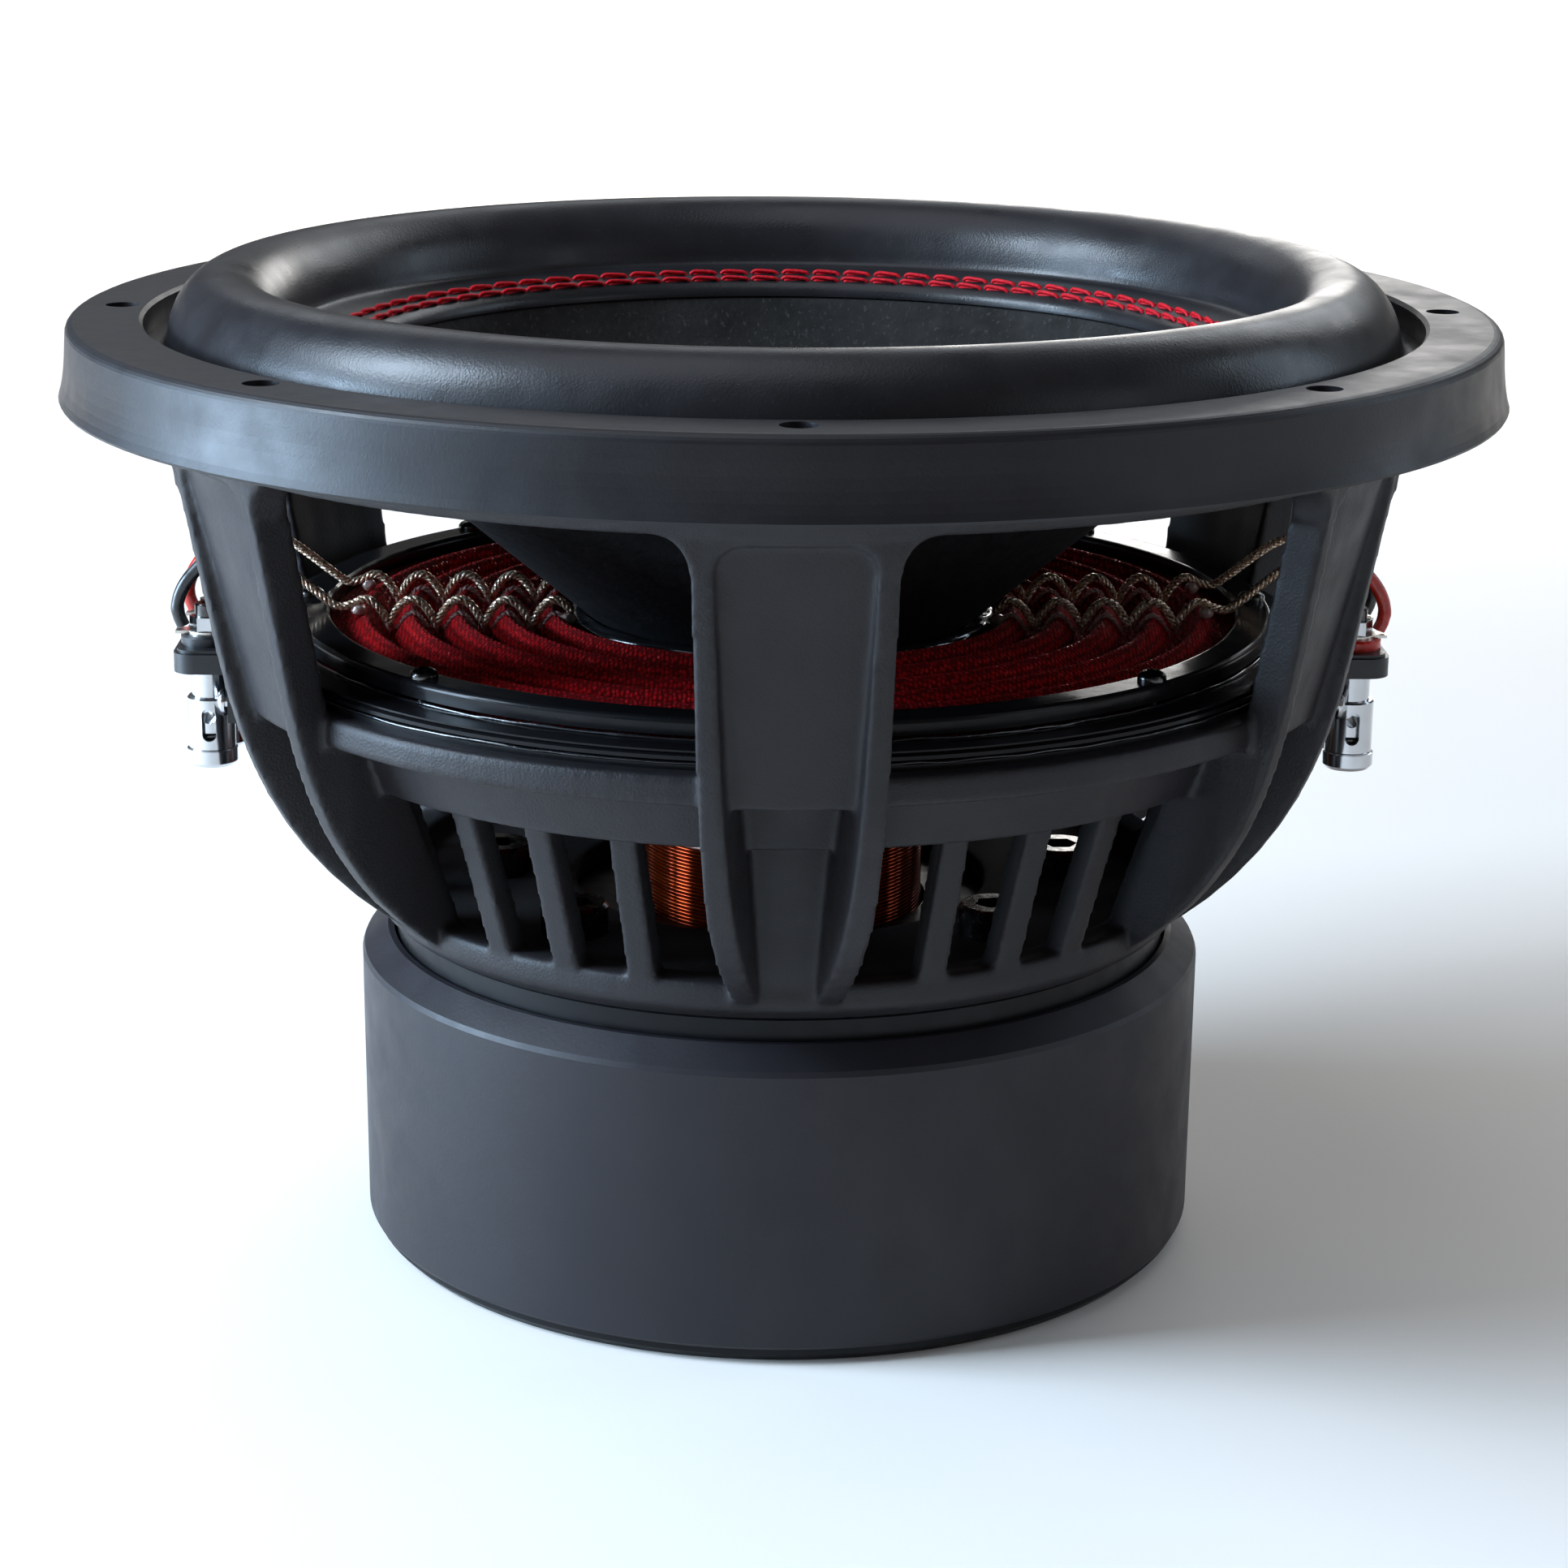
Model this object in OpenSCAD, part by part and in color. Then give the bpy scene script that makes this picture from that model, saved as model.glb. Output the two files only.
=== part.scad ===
// Car subwoofer driver, 12-inch class: cast basket, rubber roll surround, woven spider, copper voice
// coil, ferrite motor under a rubber boot, and two pairs of spring push terminals.
// Millimetres. +Z points out of the cone, the origin is the centre of the motor's foot.
// Azimuths are measured from the front (-Y) towards the right (+X).

/* [Mounting flange] */
// Diameter over the gasket at its top face
flange_d = 320; // [318:1:322]
// Diameter of the bolt circle
bolt_circle_d = 298.6; // [297:0.2:300]
// Number of mounting holes
bolt_count = 8; // [4:4:8]
// Diameter of each mounting hole through the basket
bolt_hole_d = 6; // [5:0.5:6.5]

/* [Motor] */
// Height from the foot to the top plate's upper face
motor_h = 77; // [74:1:80]
// Outer diameter of the rubber boot
boot_d = 196.4; // [194:0.2:198]
// Thickness of the steel back plate
back_plate_t = 12; // [10:0.5:14]
// Thickness of the steel top plate
top_plate_t = 15.5; // [13:0.5:17]
// Diameter of the vent through the pole
vent_d = 30; // [20:1:34]

/* [Voice coil] */
// Inner diameter of the coil former, a 2.5 inch coil
coil_d = 62.8; // [62.4:0.1:63]
// Length of the winding along the axis
winding_h = 51.5; // [46:0.5:54]

/* [Surround] */
// Radius of the middle of the rubber roll
roll_r = 125; // [124:0.5:126]
// Half of the roll's width
roll_half_w = 13.2; // [12:0.1:13.4]
// Height of the roll above its feet
roll_h = 16.8; // [14:0.1:20]
// Length of one stitch along its row
stitch_len = 6.3; // [4:0.1:6.6]

/* [Spider] */
// Distance between two rolls of the spider
spider_pitch = 10.6; // [10.4:0.1:10.6]
// Half of the height of the spider's rolls
spider_wave = 2.4; // [1.5:0.1:2.6]

/* [Terminals] */
// Distance of each terminal's centre from the middle plane
terminal_x = 131.2; // [130.8:0.1:132]
// Distance between the two terminals of a pair
terminal_pitch = 18; // [16:0.5:20]

/* [Hidden] */

$fn = 96;
eps = 0.05;

// Heights, all built up from the motor's top face
floor_t = 5;
foot_z = motor_h + 2.6;
vent_low_z = motor_h + 9;
vent_top_z = motor_h + 43;
landing_low_z = motor_h + 56;
landing_z = motor_h + 62.5;
panel_top_z = motor_h + 113;
window_top_z = motor_h + 115;
flange_low_z = motor_h + 120.9;
flange_z = motor_h + 130.3;
roll_foot_z = flange_z + 1.5;
gasket_z = flange_z + 7.7;

// Radii of the basket
foot_r = 95;
landing_r = 125;
band_top_r = 115;
band_low_r = 110;
bar_top_r = 107;
bar_low_r = 94.5;
rim_r = 158.5;
bolt_r = bolt_circle_d / 2;
gasket_r = flange_d / 2;

// Spokes and vents
spoke_count = 6;
spoke_step = 360 / spoke_count;
bar_w = 6.3;
bar_step = 10.9;
window_corner_r = 8;
panel_corner_r = 6;

// Motor
plate_r = 90;
magnet_r = 93.6;
magnet_bore_r = 44;
magnet_count = 3;
magnet_h = (motor_h - back_plate_t - top_plate_t) / magnet_count;
boot_wall = 3.4;
boot_low_z = 3.6;
boot_top_z = motor_h - 5.3;
pole_r = 30.6;
gap_r = 34.3;

// Coil and cone
former_r = coil_d / 2 + 0.4;
winding_r = former_r + 1.4;
winding_z = motor_h - top_plate_t / 2 - winding_h / 2;
former_low_z = winding_z - 3.5;
neck_z = motor_h + 58;
former_top_z = neck_z + 6;
cone_slope = 1.183;
cone_t = 2.6;
cone_ref = [75, motor_h + 94.1];
cone_top = [100.5, roll_foot_z - 0.2];
lip_out_r = 112.4;
lip_t = 1.9;
cap_r = 55.4;
cap_h = 16;
cap_t = 1.4;

// Surround. Its inner foot bends down over the cone's rim: four control points, from the tip outwards
roll_t = 1.7;
foot_t = 1;
foot_tip = [95.9, roll_foot_z - 4.8];
foot_bend = [95.9, roll_foot_z - 1.6];
foot_rise = [99.5, roll_foot_z + 0.2];
foot_end = [108, roll_foot_z + 0.95];
surround_out_r = 145;

// Each row of stitches: where it lies along the foot, from 0 to 1, and how many it has
stitch_rows = [[0.73, 83], [0.5, 81]];
stitch_w = 1.3;
stitch_rise = 0.55;

// Spider and its rings
spider_z = landing_z + 4.3;
spider_t = 0.9;
spider_first_r = 53.5;
spider_rolls = 5;
spider_in_r = 45;
spider_out_r = 111;
clamp_in_r = 103.8;
clamp_out_r = 112.2;
clamp_low_z = spider_z + spider_t / 2 + eps;
clamp_z = landing_z + 8.5;
ring_screw_r = 108.6;
ring_screw_count = 8;
ring_screw_d = 3;

// Bolts that hold the basket to the motor
motor_bolt_r = 66;
motor_bolt_count = 8;
motor_bolt_d = 8;

// Leads and terminals
lead_d = 2;
lead_y = 13;
lead_low_z = spider_z - 0.3;
lead_arch = 5.3;
sleeve_wire_d = 3.2;
post_r = 4.3;
bracket_low_z = landing_z - 5.7;
bracket_z = landing_z - 0.4;
bracket_tab_z = landing_z - 17;
bracket_screw_z = landing_z - 12.5;
bracket_screw_y = 16;
collar_h = 2.4;
lug_h = 0.7;
nut_h = 3.2;
push_low_z = landing_z - 29;
push_h = 16.3;
push_r = 5.8;
push_body_r = 5.4;
push_ring_h = 4;
push_bore_r = post_r + 0.08;
push_floor = 1.5;
post_low_z = push_low_z + 8;
spring_wire_r = 0.25;
spring_r = 3.4;
spring_turns = 4;
window_w = 3.2;
window_h = 7.8;
window_mid = 10.2;

cast_black = [0.16, 0.17, 0.19];
satin_black = [0.10, 0.11, 0.13];
gloss_black = [0.05, 0.05, 0.06];
paper_black = [0.09, 0.085, 0.08];
thread_red = [0.65, 0.04, 0.06];
cloth_red = [0.60, 0.03, 0.05];
copper = [0.80, 0.35, 0.12];
steel = [0.45, 0.46, 0.48];
ferrite = [0.20, 0.20, 0.21];
chrome = [0.82, 0.83, 0.85];
tinsel = [0.75, 0.70, 0.62];

// ---------- shared shapes ----------

function bezier(a, b, c, d, t) =
    pow(1 - t, 3) * a + 3 * pow(1 - t, 2) * t * b + 3 * (1 - t) * t * t * c + t * t * t * d;

function curve(a, b, c, d, steps) = [for (i = [0 : steps]) bezier(a, b, c, d, i / steps)];

function unit(v) = v / norm(v);

// Points of an arc in the radius-height plane, from angle a0 to a1
function arc(centre, rx, rz, a0, a1, steps) =
    [for (i = [0 : steps]) let (a = a0 + (a1 - a0) * i / steps)
        centre + [rx * cos(a), rz * sin(a)]];

// A curve moved sideways by distance d, to the left of its direction
function beside(points, d) =
    [for (i = [0 : len(points) - 1])
        let (a = points[max(i - 1, 0)], b = points[min(i + 1, len(points) - 1)], t = unit(b - a))
        points[i] + d * [-t[1], t[0]]];

function reversed(points) = [for (i = [len(points) - 1 : -1 : 0]) points[i]];

module revolve(points) {
    rotate_extrude($fn = 180) polygon(points);
}

module ring(r_in, r_out, z0, z1) {
    revolve([[r_in, z0], [r_out, z0], [r_out, z1], [r_in, z1]]);
}

// Turns a shape built along +X to an azimuth
module at_azimuth(a) {
    rotate([0, 0, a - 90]) children();
}

module around(count, first = 0) {
    for (i = [0 : count - 1]) at_azimuth(first + i * 360 / count) children();
}

// A vertical prism along +X whose half width is given at several distances from the axis
module spoke_prism(widths, z0, z1) {
    translate([0, 0, z0])
        linear_extrude(z1 - z0)
            polygon(concat([for (w = widths) [w[0], w[1]]],
                           [for (w = reversed(widths)) [w[0], -w[1]]]));
}

module bore(r, x, y, z0, z1) {
    translate([x, y, z0]) cylinder(r = r, h = z1 - z0);
}

// A round tube swept along a list of points, as one closed polyhedron
function sweep_frame(path, i) =
    let (a = path[max(i - 1, 0)], b = path[min(i + 1, len(path) - 1)], t = unit(b - a),
         side = unit(cross(t, abs(t[1]) < 0.9 ? [0, 1, 0] : [1, 0, 0])))
    [side, cross(t, side)];

module tube(path, r, sides = 8) {
    rings = len(path);
    points = [for (i = [0 : rings - 1]) let (f = sweep_frame(path, i))
        for (k = [0 : sides - 1]) let (a = 360 * k / sides)
            path[i] + r * (cos(a) * f[0] + sin(a) * f[1])];
    walls = [for (i = [0 : rings - 2]) for (k = [0 : sides - 1])
        let (n = (k + 1) % sides)
        [i * sides + k, (i + 1) * sides + k, (i + 1) * sides + n, i * sides + n]];
    start = [for (k = [0 : sides - 1]) k];
    end = [for (k = [sides - 1 : -1 : 0]) (rings - 1) * sides + k];
    polyhedron(points, concat([start], walls, [end]));
}

// ---------- basket ----------

// Outer edge of the fins, from the skirt down to the motor
fin_top = [143.4, window_top_z + 6];
fin_mid = [133.3, motor_h + 68];
fin_tip = [92, foot_z - 0.2];
fin_edge = concat([fin_top],
    curve(fin_mid, fin_mid + [-5.6, -29.5], fin_tip + [23.6, 15.1], fin_tip, 10));
fin_inside = [[84, foot_z], [90, vent_low_z], [104, vent_top_z], [112, landing_low_z + 3],
              [123.5, landing_z], [134.5, window_top_z + 6]];
fin_widths = [[78, 7.5], [98, 12.4], [117, 17], [132, 19.4], [150, 21.7]];
recess_widths = [[80, 2.8], [150, 18.3]];

module spoke_recess() {
    intersection() {
        revolve([[140.3, panel_top_z], [126.4, landing_low_z], [80, landing_low_z], [80, motor_h],
                 [170, motor_h], [170, panel_top_z]]);
        spoke_prism(recess_widths, motor_h - 1, panel_top_z + 1);
        union() {
            translate([100, -20, motor_h - 5]) cube([60, 40, panel_top_z - motor_h + 5 - panel_corner_r]);
            translate([70, -20, motor_h - 5]) cube([60, 40, panel_top_z - motor_h - 15]);
            translate([100, -10, motor_h]) cube([60, 20, panel_top_z - motor_h + 1]);
            for (s = [-1, 1])
                translate([100, s * 10, panel_top_z - panel_corner_r])
                    rotate([0, 90, 0]) cylinder(r = panel_corner_r, h = 60);
        }
    }
}

module spoke() {
    difference() {
        intersection() {
            revolve(concat(fin_edge, fin_inside));
            spoke_prism(fin_widths, foot_z - 1, window_top_z + 7);
        }
        spoke_recess();
    }
}

// Rounds the upper corners of a window, on both sides of a spoke
module window_corners() {
    r = window_corner_r;
    for (s = [-1, 1])
        intersection() {
            revolve([[134.3, window_top_z + 2], [142.6, window_top_z + 2],
                     [141, window_top_z - r - 1], [132.6, window_top_z - r - 1]]);
            difference() {
                translate([120, s * 20.5 - (s < 0 ? r + 1 : 1), window_top_z - r])
                    cube([40, r + 2, r + 2]);
                translate([110, s * (20.6 + r), window_top_z - r])
                    rotate([0, 90, 0]) cylinder(r = r, h = 60);
            }
        }
}

module vent_bar(width) {
    intersection() {
        revolve([[bar_low_r, vent_low_z - 2], [bar_top_r, vent_top_z + 2],
                 [bar_top_r - 6, vent_top_z + 2], [bar_low_r - 6, vent_low_z - 2]]);
        translate([60, -width / 2, vent_low_z - 3]) cube([60, width, vent_top_z - vent_low_z + 6]);
    }
}

module terminal_pad() {
    intersection() {
        ring(108, landing_r, landing_z - 17.5, landing_z);
        translate([100, -21, landing_z - 17.5]) cube([40, 42, 17.5]);
    }
}

module basket() {
    color(cast_black)
    difference() {
        union() {
            revolve([[138.4, flange_z], [rim_r, flange_z], [rim_r, flange_low_z + 0.6],
                     [rim_r - 0.6, flange_low_z], [147, flange_low_z], [145.5, window_top_z + 3],
                     [142.8, window_top_z], [134.3, window_top_z], [138.4, flange_low_z + 4]]);
            revolve([[100, landing_z], [landing_r - 0.8, landing_z], [landing_r, landing_z - 0.8],
                     [landing_r, landing_low_z], [band_top_r, landing_low_z - 0.8],
                     [band_low_r, vent_top_z], [band_low_r - 9, vent_top_z],
                     [band_top_r - 7.5, landing_low_z - 2], [100, landing_low_z + 1.5]]);
            revolve([[48, motor_h], [48, motor_h + floor_t], [84, motor_h + floor_t],
                     [87.5, vent_low_z], [foot_r - 0.8, vent_low_z], [foot_r, vent_low_z - 0.8],
                     [foot_r, foot_z + 1.5], [foot_r - 0.6, foot_z], [91.5, motor_h]]);
            around(spoke_count) spoke();
            around(spoke_count) window_corners();
            around(spoke_count) vent_bar(22);
            for (k = [-1, 0, 1]) around(spoke_count, spoke_step / 2 + k * bar_step) vent_bar(bar_w);
            around(2, 90) terminal_pad();
        }
        around(bolt_count) bore(bolt_hole_d / 2, bolt_r, 0, flange_low_z - 1, flange_z + 1);
        around(motor_bolt_count)
            bore(motor_bolt_d / 2 + 0.3, motor_bolt_r, 0, motor_h - 1, motor_h + floor_t + 1);
        around(ring_screw_count)
            bore(ring_screw_d / 2 + eps, ring_screw_r, 0, landing_z - 3.5, landing_z + 1);
        around(2, 90)
            for (y = [-bracket_screw_y, bracket_screw_y])
                translate([landing_r - 9, y, bracket_screw_z])
                    rotate([0, 90, 0]) cylinder(r = 1.55, h = 12);
    }
}

module mounting_gasket() {
    color(satin_black)
    difference() {
        revolve(concat(
            [[143.2, roll_foot_z + eps], [143.2, gasket_z - 0.8], [144, gasket_z]],
            arc([gasket_r - 2.2, gasket_z - 2.4], 2.4, 2.4, 90, 10, 5),
            curve([gasket_r + 0.4, gasket_z - 5], [gasket_r + 0.6, gasket_z - 10],
                  [gasket_r + 1.2, gasket_z - 14], [gasket_r + 2.1, gasket_z - 16.4], 5),
            [[gasket_r + 1.8, gasket_z - 17], [rim_r + 0.6, gasket_z - 17],
             [rim_r + 0.2, flange_z + eps], [surround_out_r + 0.3, flange_z + eps],
             [surround_out_r + 0.3, roll_foot_z + eps]]));
        around(bolt_count) bore(bolt_hole_d / 2 + 0.75, bolt_r, 0, flange_z - 1, gasket_z + 1);
    }
}

// ---------- cone and coil ----------

function foot_at(t) = bezier(foot_tip, foot_bend, foot_rise, foot_end, t);

foot_top = curve(foot_tip, foot_bend, foot_rise, foot_end, 8);

module surround() {
    color(satin_black)
    revolve(concat(
        foot_top,
        arc([roll_r, roll_foot_z], roll_half_w, roll_h, 176.6, 0, 32),
        [[surround_out_r, roll_foot_z], [surround_out_r, flange_z + eps],
         [roll_r + roll_half_w - roll_t, flange_z + eps]],
        arc([roll_r, roll_foot_z], roll_half_w - roll_t, roll_h - roll_t, 0, 180, 32),
        reversed(beside(foot_top, -foot_t))));
}

module surround_stitching() {
    nudge = 0.01;
    color(thread_red)
    for (row = stitch_rows) {
        place = foot_at(row[0]);
        along = unit(foot_at(row[0] + nudge) - foot_at(row[0] - nudge));
        seat = place + eps * [-along[1], along[0]];
        span = stitch_len / place[0] * 180 / PI;
        for (i = [0 : row[1] - 1])
            rotate([0, 0, i * 360 / row[1]])
                rotate_extrude(angle = span, $fn = 720)
                    translate(seat)
                        rotate(atan2(along[1], along[0]))
                            polygon(arc([0, 0], stitch_w / 2, stitch_rise, 0, 180, 6));
    }
}

// The cone is straight from its neck to cone_ref, then its rim curves up to the lip
neck_point = cone_ref - (cone_ref[1] - neck_z) * [cone_slope, 1];
cone_join = cone_ref + cone_t * unit([-1, cone_slope]);
rim_back = curve(cone_ref, cone_ref + 14 * unit([cone_slope, 1]), cone_top - [5, 13.2],
                 cone_top - [0, lip_t], 8);

module cone() {
    color(paper_black)
    revolve([[former_r + eps, neck_z - 1], neck_point, cone_ref, cone_join,
             [former_r + eps, neck_z + 3.2]]);
}

module cone_rim() {
    front = beside(rim_back, cone_t);
    color(paper_black)
    revolve(concat(
        rim_back,
        [[lip_out_r, cone_top[1] - lip_t], [lip_out_r, cone_top[1] - eps]],
        reversed(beside(foot_top, -foot_t - eps)),
        [for (i = [len(front) - 1 : -1 : 1]) if (front[i][1] < foot_tip[1] - 0.5) front[i]],
        [cone_join]));
}

module dust_cap() {
    seat_z = cone_ref[1] - (cone_ref[0] - cap_r) / cone_slope + cone_t * 1.31 + 0.15;
    sphere_r = (cap_r * cap_r + cap_h * cap_h) / (2 * cap_h);
    half = asin(cap_r / sphere_r);
    centre = [0, seat_z + cap_h - sphere_r];
    color(paper_black)
    revolve(concat(
        arc(centre, sphere_r, sphere_r, 90 - half, 90, 12),
        arc(centre, sphere_r - cap_t, sphere_r - cap_t, 90, 90 - half + 0.6, 12)));
}

module neck_glue() {
    z = spider_z + spider_t / 2 + eps;
    back_r = cone_ref[0] - (cone_ref[1] - z) * cone_slope + 0.1;
    color(gloss_black)
    revolve(concat([[back_r, z]],
        curve([49.6, z], [48.4, z + 0.6], [47.8, z + 1.4], [back_r + 3.6, z + 3.1], 4)));
}

module coil_former() {
    color(tinsel) ring(coil_d / 2, former_r, former_low_z, former_top_z);
}

module coil_winding() {
    color(copper) ring(former_r + 0.02, winding_r, winding_z, winding_z + winding_h);
}

// ---------- spider ----------

function spider_height(r) =
    spider_z + spider_wave * cos(360 * (r - spider_first_r) / spider_pitch);

module spider() {
    first = spider_first_r - spider_pitch / 4;
    last = spider_first_r + (spider_rolls - 1) * spider_pitch + spider_pitch / 4;
    steps = spider_rolls * 12 - 6;
    wave = [for (i = [0 : steps]) let (r = first + (last - first) * i / steps)
        [r, spider_height(r)]];
    middle = concat([[spider_in_r, spider_z]], wave, [[spider_out_r, spider_z]]);
    color(cloth_red)
    difference() {
        revolve(concat(beside(middle, spider_t / 2), reversed(beside(middle, -spider_t / 2))));
        around(ring_screw_count)
            bore(ring_screw_d / 2 + 0.2, ring_screw_r, 0, spider_z - 2, spider_z + 2);
    }
}

module spider_spacer_ring() {
    top = spider_z - spider_t / 2 - eps;
    color(gloss_black)
    difference() {
        revolve([[103, landing_z], [120.8, landing_z], [120.8, landing_z + 1.1],
                 [119.6, landing_z + 1.5], [120.3, landing_z + 1.9], [120.3, landing_z + 2.7],
                 [119.2, landing_z + 3.1], [119.9, landing_z + 3.4], [119.9, top], [103, top]]);
        around(ring_screw_count)
            bore(ring_screw_d / 2 + 0.2, ring_screw_r, 0, landing_z - 1, top + 1);
    }
}

// Narrower than the spacer under it, with rounded edges
module spider_clamp_ring() {
    edge = 1.2;
    color(gloss_black)
    difference() {
        revolve(concat(
            [[clamp_in_r, clamp_low_z], [clamp_out_r, clamp_low_z]],
            arc([clamp_out_r - edge, clamp_z - edge], edge, edge, 0, 90, 5),
            arc([clamp_in_r + edge, clamp_z - edge], edge, edge, 90, 180, 5)));
        around(ring_screw_count)
            bore(ring_screw_d / 2 + 0.2, ring_screw_r, 0, clamp_low_z - 1, clamp_z + 1);
    }
}

// A button-head socket screw standing on z
module button_screw(head_r, head_h, shank_r, length) {
    difference() {
        rotate_extrude($fn = 48)
            polygon(concat([[0, 0], [head_r, 0], [head_r, head_h * 0.25]],
                           arc([0, head_h * 0.25], head_r, head_h * 0.75, 10, 90, 6)));
        translate([0, 0, head_h * 0.45]) cylinder(r = head_r * 0.45, h = head_h, $fn = 6);
    }
    translate([0, 0, -length]) cylinder(r = shank_r, h = length + 0.3);
}

module clamp_ring_screws() {
    color(gloss_black)
    around(ring_screw_count)
        translate([ring_screw_r, 0, clamp_z]) button_screw(3.1, 2.2, ring_screw_d / 2, 10.7);
}

// ---------- motor ----------

module top_plate() {
    color(steel)
    difference() {
        revolve([[gap_r, motor_h - top_plate_t], [plate_r, motor_h - top_plate_t],
                 [plate_r, motor_h - 0.8], [plate_r - 0.8, motor_h], [gap_r, motor_h]]);
        around(motor_bolt_count)
            bore(motor_bolt_d / 2 + eps, motor_bolt_r, 0, motor_h - 11, motor_h + 1);
    }
}

module magnet(index) {
    z = back_plate_t + index * magnet_h;
    color(ferrite)
    revolve([[magnet_bore_r, z], [magnet_r - 0.8, z], [magnet_r, z + 0.8],
             [magnet_r, z + magnet_h - 0.8], [magnet_r - 0.8, z + magnet_h],
             [magnet_bore_r, z + magnet_h]]);
}

module pole_yoke() {
    vent_r = vent_d / 2;
    color(steel)
    revolve(concat(
        [[vent_r + 9, 0], [94.8, 0], [96.6, 1.8], [96.6, boot_low_z - 0.2],
         [magnet_r, boot_low_z], [magnet_r, back_plate_t - 1], [magnet_r - 1, back_plate_t],
         [pole_r, back_plate_t], [pole_r, motor_h - 1], [pole_r - 1, motor_h], [vent_r, motor_h]],
        curve([vent_r, 18], [vent_r, 9], [vent_r + 4, 3], [vent_r + 9, 0], 6)));
}

module motor_boot() {
    r = boot_d / 2;
    color(satin_black)
    revolve([[r - boot_wall, boot_low_z], [r - 0.6, boot_low_z], [r - 0.3, boot_low_z + 0.6],
             [r, boot_top_z - 5.6], [r - 0.5, boot_top_z - 4.4],
             [plate_r + 2.2, boot_top_z], [plate_r + 0.8, boot_top_z],
             [plate_r + 0.8, boot_top_z - 1.6], [r - boot_wall, boot_top_z - 6.4]]);
}

module basket_bolts() {
    head_z = motor_h + floor_t;
    color(chrome)
    around(motor_bolt_count)
        translate([motor_bolt_r, 0, head_z]) {
            difference() {
                union() {
                    cylinder(r = 7.6, h = 6.2, $fn = 48);
                    translate([0, 0, 6.2]) cylinder(r1 = 7.6, r2 = 6.8, h = 0.8, $fn = 48);
                }
                translate([0, 0, 3]) cylinder(r = 4, h = 5, $fn = 6);
            }
            translate([0, 0, -14]) cylinder(r = motor_bolt_d / 2, h = 14.2, $fn = 48);
        }
}

// ---------- leads ----------

// Height of a lead's centre where it arches over the spider's rolls
function lead_height(r) =
    lead_low_z + lead_arch * abs(cos(180 * (r - spider_first_r) / spider_pitch));

lead_first_r = spider_first_r - spider_pitch / 3;
lead_last_r = spider_first_r + (spider_rolls - 1) * spider_pitch + 2.2;
lead_steps = 40;
woven_path = [for (i = [0 : lead_steps])
    let (r = lead_first_r + (lead_last_r - lead_first_r) * i / lead_steps)
    [sqrt(r * r - lead_y * lead_y), lead_y, lead_height(r)]];
rising_path = [[101, 12.9, 148.4], [104.5, 12.7, 150.6], [108, 12.5, 153.4], [111.5, 12.2, 156.2],
               [115, 11.9, 158.6], [118.5, 11.5, 160.2], [122, 11.1, 161]];
sleeve_path = [[121.7, 11.1, 161], [124.5, 10.7, 161.2], [127.5, 10.3, 160.6], [130.5, 9.9, 159],
               [133.2, 9.5, 156.4], [135.6, 9.3, 153.6], [137.3, 9.1, 150.6], [138.1, 9, 147.6],
               [137.8, 9, 145.2], [136.9, 9, 142.95]];
lead_shift = motor_h - 77;

// Mirrors a right rear shape to one of the four corners
module corner(side, end) {
    mirror([side < 0 ? 1 : 0, 0, 0]) mirror([0, end < 0 ? 1 : 0, 0]) children();
}

module lead(side, end) {
    raised = [for (p = rising_path) p + [0, 0, lead_shift]];
    color(tinsel) corner(side, end) tube(concat(woven_path, raised), lead_d / 2);
}

module lead_sleeve(side, end, tint) {
    raised = [for (p = sleeve_path) p + [0, 0, lead_shift]];
    color(tint)
    corner(side, end)
        difference() {
            tube(raised, sleeve_wire_d / 2);
            translate(rising_path[6] + [-0.9, 0, lead_shift])
                rotate([0, 90, 0]) cylinder(r = lead_d / 2 + eps, h = 1.2, $fn = 24);
        }
}

// ---------- terminals ----------

module at_terminals(side) {
    for (end = [-1, 1]) translate([side * terminal_x, end * terminal_pitch / 2, 0]) children();
}

module terminal_bracket(side) {
    shelf_r = 5;
    shelf_x = 138.6;
    half_y = 19;
    bevel = 0.8;
    color(gloss_black)
    mirror([side < 0 ? 1 : 0, 0, 0])
        difference() {
            union() {
                difference() {
                    for (layer = [[0, bracket_low_z, bracket_z - bevel],
                                  [bevel, bracket_low_z + 1, bracket_z]])
                        translate([0, 0, layer[1]])
                            linear_extrude(layer[2] - layer[1]) {
                                translate([118, layer[0] - half_y])
                                    square([shelf_x - shelf_r - 118, 2 * (half_y - layer[0])]);
                                translate([118, shelf_r - half_y])
                                    square([shelf_x - layer[0] - 118, 2 * (half_y - shelf_r)]);
                                for (s = [-1, 1])
                                    translate([shelf_x - shelf_r, s * (half_y - shelf_r)])
                                        circle(r = shelf_r - layer[0]);
                            }
                    cylinder(r = landing_r + eps, h = landing_z * 2);
                }
                intersection() {
                    ring(landing_r + eps, landing_r + 2.6, bracket_tab_z, bracket_low_z + 1);
                    translate([100, -half_y, bracket_tab_z]) cube([40, 2 * half_y, 20]);
                }
            }
            for (s = [-1, 1]) {
                bore(post_r + eps, terminal_x, s * terminal_pitch / 2, bracket_low_z - 1, bracket_z + 1);
                bore(push_r + 0.5, terminal_x, s * terminal_pitch / 2, bracket_tab_z - 1, bracket_low_z);
                translate([landing_r - 12, s * bracket_screw_y, bracket_screw_z])
                    rotate([0, 90, 0]) cylinder(r = 1.8, h = 20);
            }
        }
}

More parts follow.
